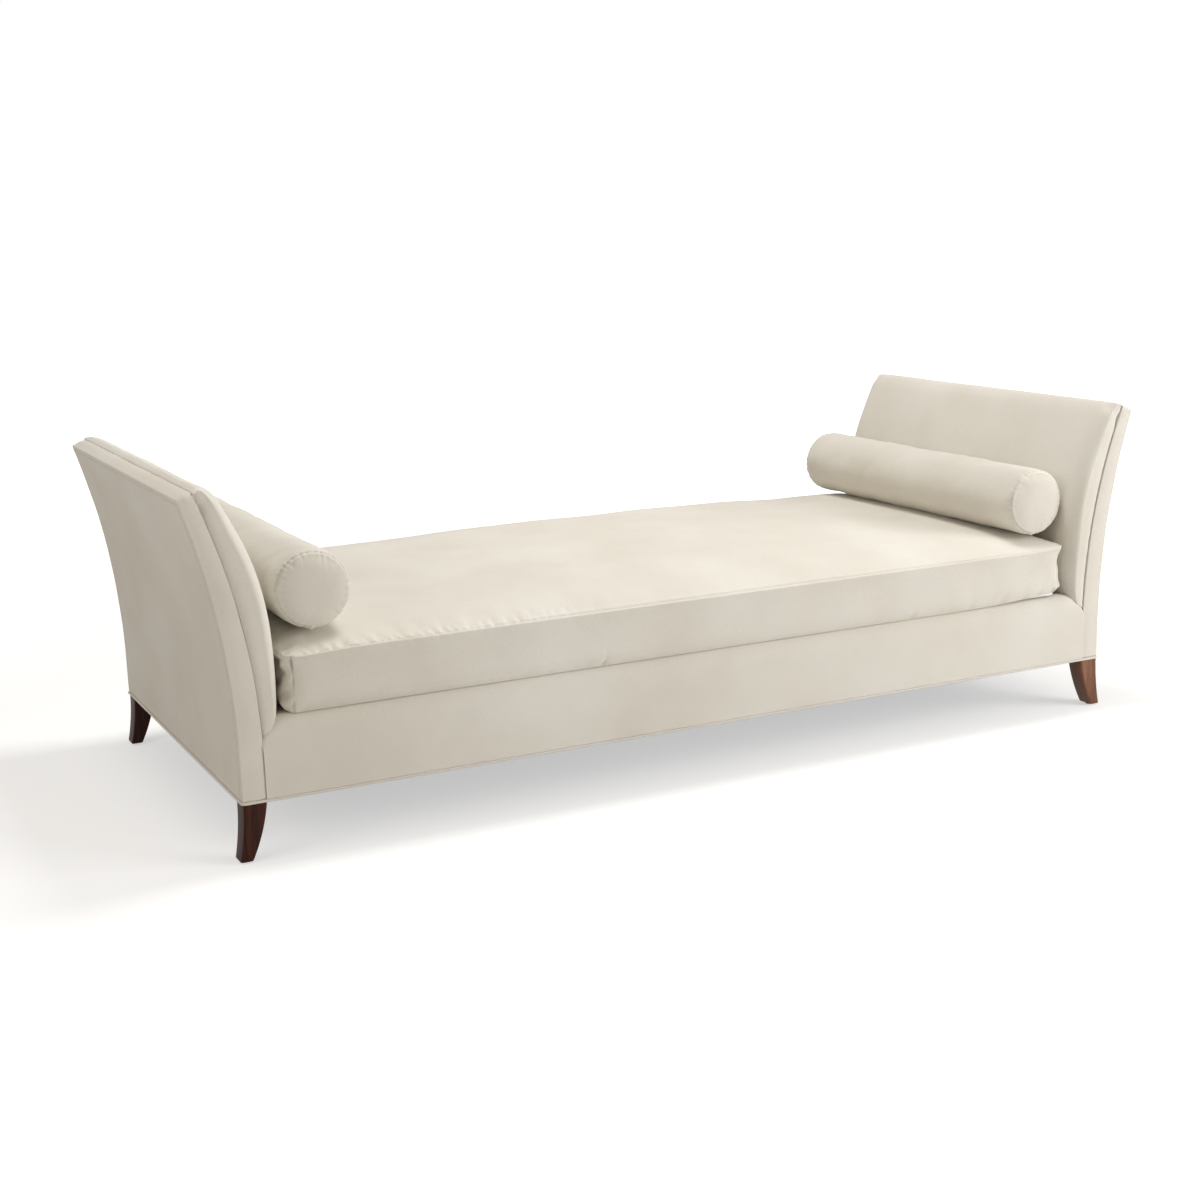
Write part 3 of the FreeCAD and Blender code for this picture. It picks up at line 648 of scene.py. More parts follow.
# %% Dust cover
DUST_X, DUST_Y, DUST_Z = 1.003, 0.446, 0.1118
DUST_SAG, DUST_CLOTH, SAG_REACH = 0.0035, 0.0006, 0.12
NOTCH_X, NOTCH_Y = 0.963, 0.407  # inner corner of each cut-out
x = np.unique(np.concatenate([np.linspace(-NOTCH_X, NOTCH_X, 61), [-DUST_X, -0.983, 0.983, DUST_X]]))
y = np.unique(np.concatenate([np.linspace(-NOTCH_Y, NOTCH_Y, 31), [-DUST_Y, -0.426, 0.426, DUST_Y]]))
edge_x = np.minimum(DUST_X - np.abs(x), SAG_REACH)[:, None]
edge_y = np.minimum(DUST_Y - np.abs(y), SAG_REACH)[None, :]
sag = DUST_SAG * np.sin(np.minimum(edge_x, edge_y) / SAG_REACH * math.pi / 2)
grid = np.stack([*np.meshgrid(x, y, indexing="ij"), DUST_Z - sag], -1)
number = np.arange(grid[..., 0].size).reshape(grid.shape[:2])
cells = []
for i in range(len(x) - 1):
    for j in range(len(y) - 1):
        if abs(x[i] + x[i + 1]) / 2 < NOTCH_X or abs(y[j] + y[j + 1]) / 2 < NOTCH_Y:
            cells.append((number[i, j], number[i + 1, j], number[i + 1, j + 1], number[i, j + 1]))
used, cells = np.unique(cells, return_inverse=True)
points, count = grid.reshape(-1, 3)[used], len(used)
low = [tuple(cell) for cell in cells.reshape(-1, 4).tolist()]
edges = [(a, b) for cell in low for a, b in zip(cell, cell[1:] + cell[:1])]
known = set(edges)
faces = low + [tuple(corner + count for corner in reversed(cell)) for cell in low]
faces += [(b, a, a + count, b + count) for a, b in edges if (b, a) not in known]
both = np.concatenate([points, points - DUST_CLOTH * UP])
dust = build("dust_cover_cloth", both, faces, both[:, :2])
dress(dust, dust_cloth, "frame", "dust_cloth", "dust_cover")
print("dust cover", len(dust.data.vertices), "points")

# %% [markdown]
# ## Arms: the band
# Each arm is framed by a band of cloth that runs up its front, over its top and down its back, and
# wraps round the outer edge by a few millimetres, where the outside panel is sewn to it. The grid
# follows that run: each row is one cut across the band, each column one line along it. A point is
# given by its place across and by its depth below the surface, so the corner at the top turns by
# itself.

# %% Arm bands
ARM_CORNER, BAND_EDGE, BAND_WRAP = 0.008, 0.003, 0.0075  # its turns: at the top, at the edge, round it
BAND_LOFT = 0.003  # how far padding lifts the band off the arm's top
SLOPE = (SEAM_TOP_Z - OUT_TOP_Z) / (SEAM_TOP - OUT_TOP)


def band_run():
    """The run from the front foot to the back foot, as (part, share of that part)."""
    rise = ticks(1.0, 0.04, (0.0, 0.002, 0.006, 0.014, 0.03))
    parts = (("front", rise[:-1]), ("turn_front", np.linspace(0, 1, 9)), ("top", np.linspace(0, 1, 40)[1:-1]),
             ("turn_back", np.linspace(0, 1, 9)), ("back", rise[::-1][1:]))
    return [(part, share) for part, shares in parts for share in shares]


def band_point(part, share, u, depth):
    """One point: u across the band, from the pad's seam to the outer edge, and depth below its
    surface. Also the band's width there."""
    x_top = SEAM_TOP + (OUT_TOP - SEAM_TOP) * u
    high = SEAM_TOP_Z + BAND_LOFT + SLOPE * (x_top - SEAM_TOP) - ARM_CORNER
    if part in ("front", "back"):
        z, y = SKIN_LOW + share * (high - SKIN_LOW), -FACE_Y + depth
    elif part == "top":
        z, y = high + ARM_CORNER - depth, -(FACE_Y - ARM_CORNER) * (1 - 2 * share)
    else:
        angle = math.radians(90 * (share if part == "turn_front" else 1 - share))
        z = high + (ARM_CORNER - depth) * math.sin(angle)
        y = -(FACE_Y - ARM_CORNER) - (ARM_CORNER - depth) * math.cos(angle)
    if part in ("turn_back", "back"):
        y = -y
    x_in, x_out = seam_x(min(z, SEAM_TOP_Z)), outside_x(min(z, OUT_TOP_Z + 0.0005))
    return [x_in + (x_out - x_in) * u, y, z], x_out - x_in


def arm_band(name, sign, seed):
    """The band of one arm; sign is 1 at the right and -1 at the left."""
    run = band_run()
    rows = []
    for part, share in run:
        width = band_point(part, share, 1.0, 0.0)[1]
        line = [(cut / width, 0.0) for cut in (0.0, 0.0006, 0.0015, 0.003, 0.006)]
        line += [(u, 0.0) for u in np.linspace(0.22, 0.84, 8)]
        for angle in np.radians(np.linspace(0, 90, 6)):
            line.append((1 - BAND_EDGE * (1 - math.sin(angle)) / width, BAND_EDGE * (1 - math.cos(angle))))
        line += [(1.0, depth) for depth in (0.0045, 0.0058, 0.0066, 0.0071, BAND_WRAP)]
        rows.append([band_point(part, share, u, depth)[0] for u, depth in line])
    grid = np.array(rows)
    out = -normals(grid)
    across, along = travel(grid, 1), travel(grid, 0)
    width = across.max(axis=1, keepdims=True)
    span = (0, float(along.max()))
    soft = 0.0016 * np.sin(np.clip(across / (width - 0.012), 0, 1) * math.pi)
    soft += 0.0005 * uneven(grid, 0.12, seed)
    seam = creases(along, across, span, 0.016, 0.008, seed + 1)
    wrap = creases(along, width - across, span, 0.022, 0.006, seed + 2)
    on_slope = np.array([part == "top" for part, _ in run])[:, None]
    sunk = np.where(on_slope, 0.3, 1.0) * roll_in(across, 0.0009)
    sunk += roll_in(width - across, 0.0016) + roll_in(from_edge(grid, 0), 0.002)
    outer = grid + out * (soft - sunk - 0.0006 * seam - 0.0005 * wrap)[..., None]
    return covering(name, outer * [sign, 1, 1], (grid - out * CLOTH) * [sign, 1, 1])


ARMS = (("right", 1), ("left", -1))
for (end, sign), seed in zip(ARMS, (51, 61)):
    cover(arm_band("arm_band_cover_" + end, sign, seed), "frame", "arm_band_" + end)

# %% [markdown]
# ## Arms: the outside panel
# The outside of an arm is one flat cut of cloth, pulled over a curved frame with no thick padding.
# Its top, front and back edges are sewn to the band just inside the edge, and its foot tucks behind
# the welt. It stays almost flat, with faint pulls along the seam.

# %% Outside panels
PANEL_Y, PANEL_TOP = FACE_Y - BAND_WRAP - 0.0002, 0.6745 + BAND_LOFT


def outside_panel(name, sign, seed):
    """The outside panel of one arm."""
    y, z = np.meshgrid(ticks(2 * PANEL_Y, 0.025) - PANEL_Y, SKIN_LOW + ticks(PANEL_TOP - SKIN_LOW, 0.02))
    grid = np.stack([outside_x(z), y, z], -1)
    out = -normals(grid)
    sides, foot = from_edge(grid, 1), travel(grid, 0)
    head = foot.max(axis=0, keepdims=True) - foot
    near = np.minimum(np.minimum(sides, head), foot)
    soft = 0.0006 * uneven(grid, 0.3, seed) + 0.0003 * uneven(grid, 0.08, seed + 1)
    pulls = creases(y, head, (-PANEL_Y, PANEL_Y), 0.03, 0.012, seed + 2)
    pulls += creases(z, sides, (SKIN_LOW, PANEL_TOP), 0.03, 0.012, seed + 3)
    sunk = roll_in(np.minimum(sides, head), 0.0026) + roll_in(foot, 0.002) + 0.0006 * pulls
    outer = grid + out * (soft * np.minimum(1, near / 0.04) - sunk)[..., None]
    return covering(name, outer * [sign, 1, 1], (grid - out * CLOTH) * [sign, 1, 1])


for (end, sign), seed in zip(ARMS, (71, 81)):
    made = outside_panel("outside_arm_cover_" + end, sign, seed)
    dress(made, cotton, "frame", "cover_cotton", "outside_arm_panel_" + end)
    print(made.name, len(made.data.vertices), "points")

# %% [markdown]
# ## Arms: the inside pad
# The pad on the inside of an arm is a thick, crowned cushion fixed to the frame. In section it is
# tucked in below, upright behind the mattress, full at the shoulder, and thin at the top. At its
# front and back it rounds into the seam with the band. Five arcs draw the section. The pad starts
# as that section swept from front to back, the cloth simulation fills it, and then it gets the
# creases along its seams, and at its upper corners a small ear with a folded pleat beside it.

# %% Section of the pad
def arc_through(a, b, c, count):
    """Points on the circular arc from a through b to c."""
    (ax, az), (bx, bz), (cx, cz) = a, b, c
    d = 2 * (ax * (bz - cz) + bx * (cz - az) + cx * (az - bz))
    a2, b2, c2 = ax ** 2 + az ** 2, bx ** 2 + bz ** 2, cx ** 2 + cz ** 2
    ux = (a2 * (bz - cz) + b2 * (cz - az) + c2 * (az - bz)) / d
    uz = (a2 * (cx - bx) + b2 * (ax - cx) + c2 * (bx - ax)) / d
    radius = math.hypot(ax - ux, az - uz)
    first, last = math.atan2(az - uz, ax - ux), math.atan2(cz - uz, cx - ux)
    turn = (last - first + math.pi) % (2 * math.pi) - math.pi
    angles = first + turn * np.linspace(0, 1, count + 1)
    return np.stack([ux + radius * np.cos(angles), uz + radius * np.sin(angles)], -1)


tuck = (float(seam_x(PAD_LOW)), PAD_LOW)
pad_runs = [(tuck, (0.9395, 0.249), (0.9275, 0.276), 9),
            ((0.9275, 0.276), (0.9245, 0.348), (0.928, 0.42), 10),
            ((0.928, 0.42), (0.951, 0.546), (1.005, 0.664), 18),
            ((1.005, 0.664), (1.022, 0.692), (1.046, 0.7035), 8),
            ((1.046, 0.7035), (1.0548, 0.7002), (1.0628, 0.6962), 6)]
pad_line = np.concatenate([arc_through(*run)[(0 if i == 0 else 1):] for i, run in enumerate(pad_runs)])
for _ in range(6):
    pad_line[1:-1] = (pad_line[:-2] + 2 * pad_line[1:-1] + pad_line[2:]) / 4
pad_back_z = np.clip(pad_line[:, 1], PAD_LOW, SEAM_TOP_Z)
pad_back = np.stack([seam_x(pad_back_z), pad_back_z], -1)
print("section points", len(pad_line), "length mm", round(float(travel(pad_line, 0)[-1]) * 1000))

# %% Inside pads, filled by simulation
PAD_ROUND_Y, PAD_ROUND_IN = 0.055, 0.022  # how far its front and back edges round off
PAD_SWELL, PAD_DOME = 0.0035, 0.0045


def pad_columns():
    """Cuts from front to back, as (share of the depth, share of the rounding, y)."""
    half = [(share, 1.0, -FACE_Y + PAD_DOME * (1 - math.sin(min(share * 2, 1) * math.pi / 2)))
            for share in (0.0, 0.04, 0.1, 0.2, 0.35, 0.5, 0.65, 0.8, 0.92)]
    half += [(1.0, (1 - share) ** 2.2, -FACE_Y + PAD_ROUND_Y * share ** 1.35)
             for share in np.linspace(0, 1, 12)]
    middle = np.linspace(-FACE_Y + PAD_ROUND_Y, FACE_Y - PAD_ROUND_Y, 66)[1:-1]
    mirrored = [(share, part, -y) for share, part, y in reversed(half)]
    return half + [(1.0, 0.0, y) for y in middle] + mirrored


def arm_pad(name, sign, seed):
    """The inside pad of one arm."""
    slope = np.gradient(pad_line, axis=0)
    slope /= np.linalg.norm(slope, axis=1, keepdims=True)
    outward = np.stack([-slope[:, 1], slope[:, 0]], -1)
    thick = np.linalg.norm(pad_line - pad_back, axis=1)
    columns = pad_columns()
    grid = np.empty((len(pad_line), len(columns), 3))
    for number, (share, part, y) in enumerate(columns):
        inset = PAD_ROUND_IN * part * np.clip((thick - 0.013) / 0.042, 0.12, 1)
        spot = pad_back + (pad_line - outward * inset[:, None] - pad_back) * share
        grid[:, number, 0], grid[:, number, 1], grid[:, number, 2] = spot[:, 0], y, spot[:, 1]
    inner, outer = grid.copy(), grid.copy()
    inner[..., 2] = np.clip(grid[..., 2], PAD_LOW, SEAM_TOP_Z)
    inner[..., 0] = seam_x(inner[..., 2]) - 0.0003
    outer[..., 0] = np.minimum(outer[..., 0], inner[..., 0] - 0.0002)
    piece = covering(name, outer * [sign, 1, 1], inner * [sign, 1, 1])
    count = grid[..., 0].size
    head, along = travel(grid, 0).max(0) - travel(grid, 0), travel(grid, 0)[:, :1] + 0 * grid[..., 0]
    keep_values(piece, rim=[from_edge(grid, 1)] * 2, along=[along] * 2, head=[head] * 2,
                shown=np.repeat([1.0, 0.0], count))
    held = np.ones(2 * count, bool)
    held[:count] = from_rim(grid).ravel() < 0.002
    cap = PAD_SWELL * np.clip((thick - 0.012) / 0.04, 0.12, 1)
    cap = np.tile(np.repeat(cap, len(columns)), 2)
    swell(piece, cap[:, None], held, pressure=5.0)
    refine(piece)
    spots, out = read(piece.data, "co"), read(piece.data, "normal")
    rim, along, head, shown = take_values(piece, "rim", "along", "head", "shown")
    from_face = FACE_Y - np.abs(spots[:, 1])
    drawn = 0.0011 * creases(along, rim, (0, 0.62), 0.018, 0.014, seed, 0.24)
    drawn += 0.0008 * creases(spots[:, 1], head, (-FACE_Y, FACE_Y), 0.026, 0.012, seed + 1, 0.24)
    slow = 0.0011 * uneven(spots, 0.22, seed + 2) * np.minimum(1, np.minimum(rim, head) / 0.05)
    ear = 0.0042 * np.exp(-(np.hypot(0.012 - from_face, head - 0.03) / 0.013) ** 2)
    fold = np.exp(-((from_face - 0.9 * head - 0.004) / 0.003) ** 2)
    pleat = 0.0036 * fold * np.exp(-head / 0.022) * np.exp(-rim / 0.06)
    set_places(piece, spots + out * (np.clip(shown, 0, 1) * (slow + ear - pleat - drawn))[:, None])
    drop_values(piece, "rim", "along", "head", "shown")
    return piece


for (end, sign), seed in zip(ARMS, (91, 101)):
    cover(arm_pad("inside_arm_cushion_" + end, sign, seed), "frame", "inside_arm_pad_" + end)

# %% [markdown]
# ## Mattress
# The mattress is a boxed cushion: a top panel, a bottom panel and an upright strip, the boxing,
# sewn between them. A box of small quads has just those panels. Its rows bunch up at the seams and
# over the left end, where the cover creases most. The plan's corners are rounded, the boxing draws
# in between its seams, the top is crowned. Then it is filled as cloth, and last it gets its seam
# line, gathers and folds, which no simulation of this size would keep.

# %% A box of quads
def box_of_quads(columns, rows, levels):
    """The surface of a divided box, from how many lines it has each way: the place of each point in
    those lines, the faces, and each face's panel."""
    found, faces, panels = {}, [], []

    def quad(panel, *corners):
        faces.append(tuple(found.setdefault(corner, len(found)) for corner in corners))
        panels.append(panel)

    last_i, last_j, last_k = columns - 1, rows - 1, levels - 1
    for i in range(last_i):
        for j in range(last_j):
            near, far = j, j + 1
            quad("flat", (i, near, last_k), (i + 1, near, last_k), (i + 1, far, last_k), (i, far, last_k))
            quad("flat", (i, near, 0), (i, far, 0), (i + 1, far, 0), (i + 1, near, 0))
    for k in range(last_k):
        for i in range(last_i):
            quad("long", (i, 0, k), (i + 1, 0, k), (i + 1, 0, k + 1), (i, 0, k + 1))
            quad("long", (i + 1, last_j, k), (i, last_j, k), (i, last_j, k + 1), (i + 1, last_j, k + 1))
        for j in range(last_j):
            quad("short", (last_i, j, k), (last_i, j + 1, k), (last_i, j + 1, k + 1), (last_i, j, k + 1))
            quad("short", (0, j + 1, k), (0, j, k), (0, j, k + 1), (0, j + 1, k + 1))
    return np.array(list(found)), faces, panels


# %% Lines of the mattress's box
MAT_X, MAT_HALF, MAT_DEEP, MAT_CORNER = -0.004, 0.916, 0.458, 0.028
MAT_LOW, MAT_SEAM, MAT_BOX, MAT_HEEL = 0.2688, 0.386, 0.1172, 0.014
SEAM_ROWS = [0.0, 0.003, 0.0065, 0.0105, 0.016, 0.022, 0.029, 0.037]
left_part = np.concatenate([SEAM_ROWS, np.arange(0.044, 0.66, 0.0072)])
right_part = np.concatenate([SEAM_ROWS, np.arange(0.045, 0.16, 0.008)])
between = np.linspace(left_part[-1] + 0.01, 2 * MAT_HALF - right_part[-1] - 0.01, 66)
xs = np.concatenate([left_part, between, 2 * MAT_HALF - right_part[::-1]]) - MAT_HALF
side_part = np.concatenate([SEAM_ROWS, [0.047, 0.059, 0.073, 0.09]])
middle = np.linspace(0.11, 2 * MAT_DEEP - 0.11, 30)
ys = np.concatenate([side_part, middle, 2 * MAT_DEEP - side_part[::-1]]) - MAT_DEEP
lift = np.array([0.0, 0.0012, 0.0045, 0.0095, 0.016, 0.026, 0.038, 0.052, 0.066, 0.08, 0.092, 0.102,
                 0.109, 0.114, MAT_BOX])
keys, faces, panels = box_of_quads(len(xs), len(ys), len(lift))
across, deep, height = xs[keys[:, 0]], ys[keys[:, 1]], lift[keys[:, 2]]
print("mattress lines", len(xs), len(ys), len(lift), "quads", len(faces))


# %% Mattress cover: its shape
def round_plan(x, y):
    """Move points of the rectangle onto the plan with round corners; also each one's outward direction."""
    core_x = np.clip(x, -(MAT_HALF - MAT_CORNER), MAT_HALF - MAT_CORNER)
    core_y = np.clip(y, -(MAT_DEEP - MAT_CORNER), MAT_DEEP - MAT_CORNER)
    dx, dy = (x - core_x) / MAT_CORNER, (y - core_y) / MAT_CORNER
    new_x = core_x + MAT_CORNER * dx * np.sqrt(1 - dy ** 2 / 2)
    new_y = core_y + MAT_CORNER * dy * np.sqrt(1 - dx ** 2 / 2)
    away = np.stack([new_x - core_x, new_y - core_y], -1)
    away /= np.maximum(np.linalg.norm(away, axis=1, keepdims=True), 1e-9)
    return new_x, new_y, away


CROWN_MIDDLE, CROWN_END, END_ROUND = 0.050, 0.0195, 0.055


def crown_at(x, y):
    """Height of the top panel above its seam."""
    from_side = MAT_DEEP - np.abs(y)
    from_end = np.clip((MAT_HALF - np.abs(x)) / END_ROUND, 0, 1)
    full = CROWN_MIDDLE + (CROWN_END - CROWN_MIDDLE) * (x / MAT_HALF) ** 2
    rise = 0.8 * (1 - np.exp(-from_side / 0.036)) + 0.2 * (1 - (1 - from_side / MAT_DEEP) ** 2)
    return full * rise * np.sqrt(1 - (1 - from_end) ** 2)


plan_x, plan_y, away = round_plan(across, deep)
on_top, on_bottom = keys[:, 2] == len(lift) - 1, keys[:, 2] == 0
# The boxing rounds in at its heel and draws in by 4.5 mm half way up.
heel = MAT_HEEL * (1 - np.sqrt(1 - np.clip(1 - height / MAT_HEEL, 0, 1) ** 2))
waist = 0.0045 * np.sin(np.clip((height - MAT_HEEL) / (MAT_BOX - MAT_HEEL), 0, 1) * math.pi)
inward = np.where(on_top, 0.0, heel + waist)
edge_share = np.maximum(np.abs(across) / MAT_HALF, np.abs(deep) / MAT_DEEP)
inward = np.where(on_bottom, np.clip(MAT_HEEL * 0.9 - (1 - edge_share) * 0.2, 0, None), inward)
# The seam sinks at the front left corner, and the front right corner stands a little off the deck.
towards_left = np.clip((-across - 0.72) / (MAT_HALF - 0.72), 0, 1) ** 2
towards_right = np.clip((across - 0.62) / (MAT_HALF - 0.62), 0, 1) ** 2
corner_drop = 0.0075 * towards_left * np.clip((0.2 - deep) / 0.5, 0, 1)
end_lift = 0.015 * towards_right * np.clip((-deep - 0.2) / 0.22, 0, 1)
sewn_z = np.where(on_top, MAT_SEAM + crown_at(across, deep), MAT_LOW + height)
sewn_z = sewn_z - corner_drop * height / MAT_BOX + end_lift * (1 - height / MAT_BOX) * (~on_top)
start = np.stack([plan_x - away[:, 0] * inward + MAT_X, plan_y - away[:, 1] * inward, sewn_z], -1)
lines_of = {"flat": (across, deep), "long": (across, height), "short": (deep, height)}
flat = [(lines_of[panel][0][corner], lines_of[panel][1][corner])
        for face, panel in zip(faces, panels) for corner in face]
mattress = build("mattress_cushion", start, faces, flat)
to_seam = np.minimum(MAT_HALF - np.abs(across), MAT_DEEP - np.abs(deep))
from_seam = np.where(on_top, to_seam, height - MAT_BOX)
keep_values(mattress, across=across, deep=deep, height=height, seam=from_seam)
print("mattress shape", len(start), "points")

# %% Fill the mattress
shy = np.where(on_bottom, 0.0, 0.0015) * np.clip(np.abs(from_seam) / 0.02, 0, 1)
set_places(mattress, read(mattress.data, "co") - read(mattress.data, "normal") * shy[:, None])
swell(mattress, 0.004, on_bottom | (np.abs(from_seam) < 1e-4), pressure=4.0, stiffness=15.0)
refine(mattress)
spots, out = read(mattress.data, "co"), read(mattress.data, "normal")
across, deep, height, seam = take_values(mattress, "across", "deep", "height", "seam")

# %% [markdown]
# The drawing of the cloth comes last. Gathers run from the seam over the top panel, strongest along
# the front at the left. Folds stand on the boxing, strongest at the front right, and in two places
# the lower edge is nipped. A fine groove between two low lips makes the seam itself. The back stays
# flat along the middle, where the zip is sewn in.

# %% Seam line, gathers and folds
ZIP_Z, ZIP_FLAT_Y = 0.3344, 0.4531
NIPS = ((-0.260, 0.0045), (0.495, 0.004))  # place along the front, and depth
SPAN = (-MAT_HALF, MAT_HALF)
top_side, box_side = np.maximum(seam, 0), np.maximum(-seam, 0)
is_top, is_box = seam > 0, (seam <= 0) & (height > 0.0006)
at_left = np.clip((-0.30 - across) / 0.25, 0, 1)
at_right = np.clip((across - 0.45) / 0.3, 0, 1)
groove = 0.0026 * np.exp(-(seam / 0.0018) ** 2) - 0.0009 * np.exp(-((np.abs(seam) - 0.0048) / 0.0022) ** 2)
long_side = np.abs(np.abs(deep) - MAT_DEEP) <= np.abs(np.abs(across) - MAT_HALF)
run = np.where(long_side, across, deep)
strong = np.where(deep < 0, 0.0011 + 0.0036 * at_left, 0.0014)
gathers = strong * creases(run, top_side, SPAN, 0.019, 0.03, 111, 0.2) * is_top
gathers += 0.6 * strong * creases(run, top_side, SPAN, 0.0115, 0.013, 118, 0.18) * is_top
gathers += 0.45 * strong * creases(run, box_side, SPAN, 0.022, 0.013, 112, 0.22) * is_box
folds = creases(run, MAT_BOX - box_side, SPAN, 0.032, 0.05, 113, 0.2) * is_box
folds *= 0.0005 + 0.0030 * at_right * (deep < 0) + 0.0010 * (~long_side)
for place, depth in NIPS:
    nip = np.exp(-((across - place - 0.1 * height) / 0.0045) ** 2 - height / 0.022)
    folds += depth * nip * is_box * (deep < 0)
end_box = is_box & (np.abs(across) > MAT_HALF - 0.012)
bunch = np.where(across < 0, 0.0036, 0.0013) * uneven(spots * [1, 1, 2.2], 0.05, 114) * end_box
bunch *= np.clip(box_side / 0.015, 0, 1) * np.clip(height / 0.02, 0, 1)
slow = 0.0016 * uneven(spots, 0.3, 115) * is_top * np.clip(top_side / 0.08, 0, 1)
slow += 0.0012 * uneven(spots, 0.16, 116) * is_box * np.clip(np.minimum(box_side, height) / 0.02, 0, 1)
upright = np.exp(-((MAT_HALF - np.abs(across) - 0.0095) / 0.0018) ** 2)  # the boxing's seam at a corner
pinch = 0.0028 * upright * is_box * (np.abs(deep) > MAT_DEEP - 0.02)
ear = 0.0012 * np.exp(-(np.hypot(MAT_HALF - across, MAT_DEEP + deep) / 0.02) ** 2) * is_top
shaped = spots + out * (slow + bunch + ear - groove - gathers - folds - pinch)[:, None]
zip_strip = np.exp(-((shaped[:, 2] - ZIP_Z) / 0.0165) ** 4)
zip_strip *= np.clip((0.775 - np.abs(shaped[:, 0])) / 0.02, 0, 1) * (is_box & (deep > MAT_DEEP - 0.001))
shaped[:, 1] += zip_strip * (ZIP_FLAT_Y - shaped[:, 1])
set_places(mattress, shaped)
drop_values(mattress, "across", "deep", "height", "seam")
cover(mattress, "mattress", "mattress_cover")

# %% [markdown]
# ## Bolsters
# A bolster is a tube of cloth with a round cut sewn into each end. The longer edge of the tube is
# eased onto the disc, so the cloth puckers all round that seam. The grid is turned like a pot: rings
# from the middle of one disc over its seam, along the tube and into the other disc, with one point
# at each pole. It is filled as cloth, and then the puckers follow.

# %% Shape of a bolster
BOL_RADIUS, BOL_HALF, BOL_DOME, BOL_SEAM = 0.075, 0.415, 0.013, 0.0715
BOL_Z, BOL_SIDES = 0.4865, 128
BOLSTERS = (("left", -1, -0.838, 1.0), ("right", 1, 0.856, 1.028))  # end, sign, x, stretch


def bolster_profile():
    """Rings as (radius, y, distance from the seam), from near the front pole to the tube's middle."""
    seam_y = -BOL_HALF + BOL_DOME
    rings = [(BOL_SEAM * share, -BOL_HALF + BOL_DOME * share ** 3.2, BOL_SEAM * (1 - share))
             for share in (0.08, 0.2, 0.33, 0.46, 0.58, 0.69, 0.78, 0.85, 0.905, 0.945, 0.975, 1.0)]
    rings += [(BOL_RADIUS - (BOL_RADIUS - BOL_SEAM) * math.exp(-run / 0.006), seam_y + run, -run)
              for run in (0.0018, 0.004, 0.007, 0.011, 0.016, 0.022, 0.029, 0.037, 0.047, 0.06, 0.076)]
    return rings + [(BOL_RADIUS, float(y), seam_y - float(y)) for y in np.linspace(seam_y + 0.092, 0, 20)]


def bolster_start(name, centre_x, stretch):
    """The bolster's cover before it is filled, and each point's distance from its end seam."""
    half = [(radius, y * stretch, away) for radius, y, away in bolster_profile()]
    rings = half + [(radius, -y, away) for radius, y, away in reversed(half[:-1])]
    turn = np.linspace(0, 2 * math.pi, BOL_SIDES, endpoint=False) - math.pi / 2
    points = [(centre_x + radius * math.cos(angle), y, BOL_Z + radius * math.sin(angle))
              for radius, y, _ in rings for angle in turn]
    points += [(centre_x, -BOL_HALF * stretch, BOL_Z), (centre_x, BOL_HALF * stretch, BOL_Z)]
    away = np.concatenate([np.repeat([ring[2] for ring in rings], BOL_SIDES), [BOL_SEAM, BOL_SEAM]])
    angles = np.concatenate([np.tile(turn, len(rings)), [0.0, 0.0]]) + math.pi / 2
    number = np.arange(len(rings) * BOL_SIDES).reshape(-1, BOL_SIDES)
    beside = np.roll(number, -1, 1)
    front, back = len(points) - 2, len(points) - 1
    faces = ring_quads(number) + [(front, int(a), int(b)) for a, b in zip(number[0], beside[0])]
    faces += [(back, int(b), int(a)) for a, b in zip(number[-1], beside[-1])]
    flat = []
    for face in faces:
        turns = [angles[corner] for corner in face]
        tube = np.mean([away[corner] for corner in face]) < 0
        for corner, here in zip(face, turns):
            wrapped = here + (2 * math.pi if max(turns) - here > math.pi else 0)
            x, y, z = points[corner]
            flat.append((BOL_RADIUS * wrapped, y) if tube else (x, z))
    return build(name, points, faces, flat), away


# %% Fill and pucker the bolsters
LONG_SEAM, ZIP_TURN = 0.53 * math.pi, 0.25 * math.pi  # places round the tube
ZIP_ROUND = 0.07495  # radius under the zip


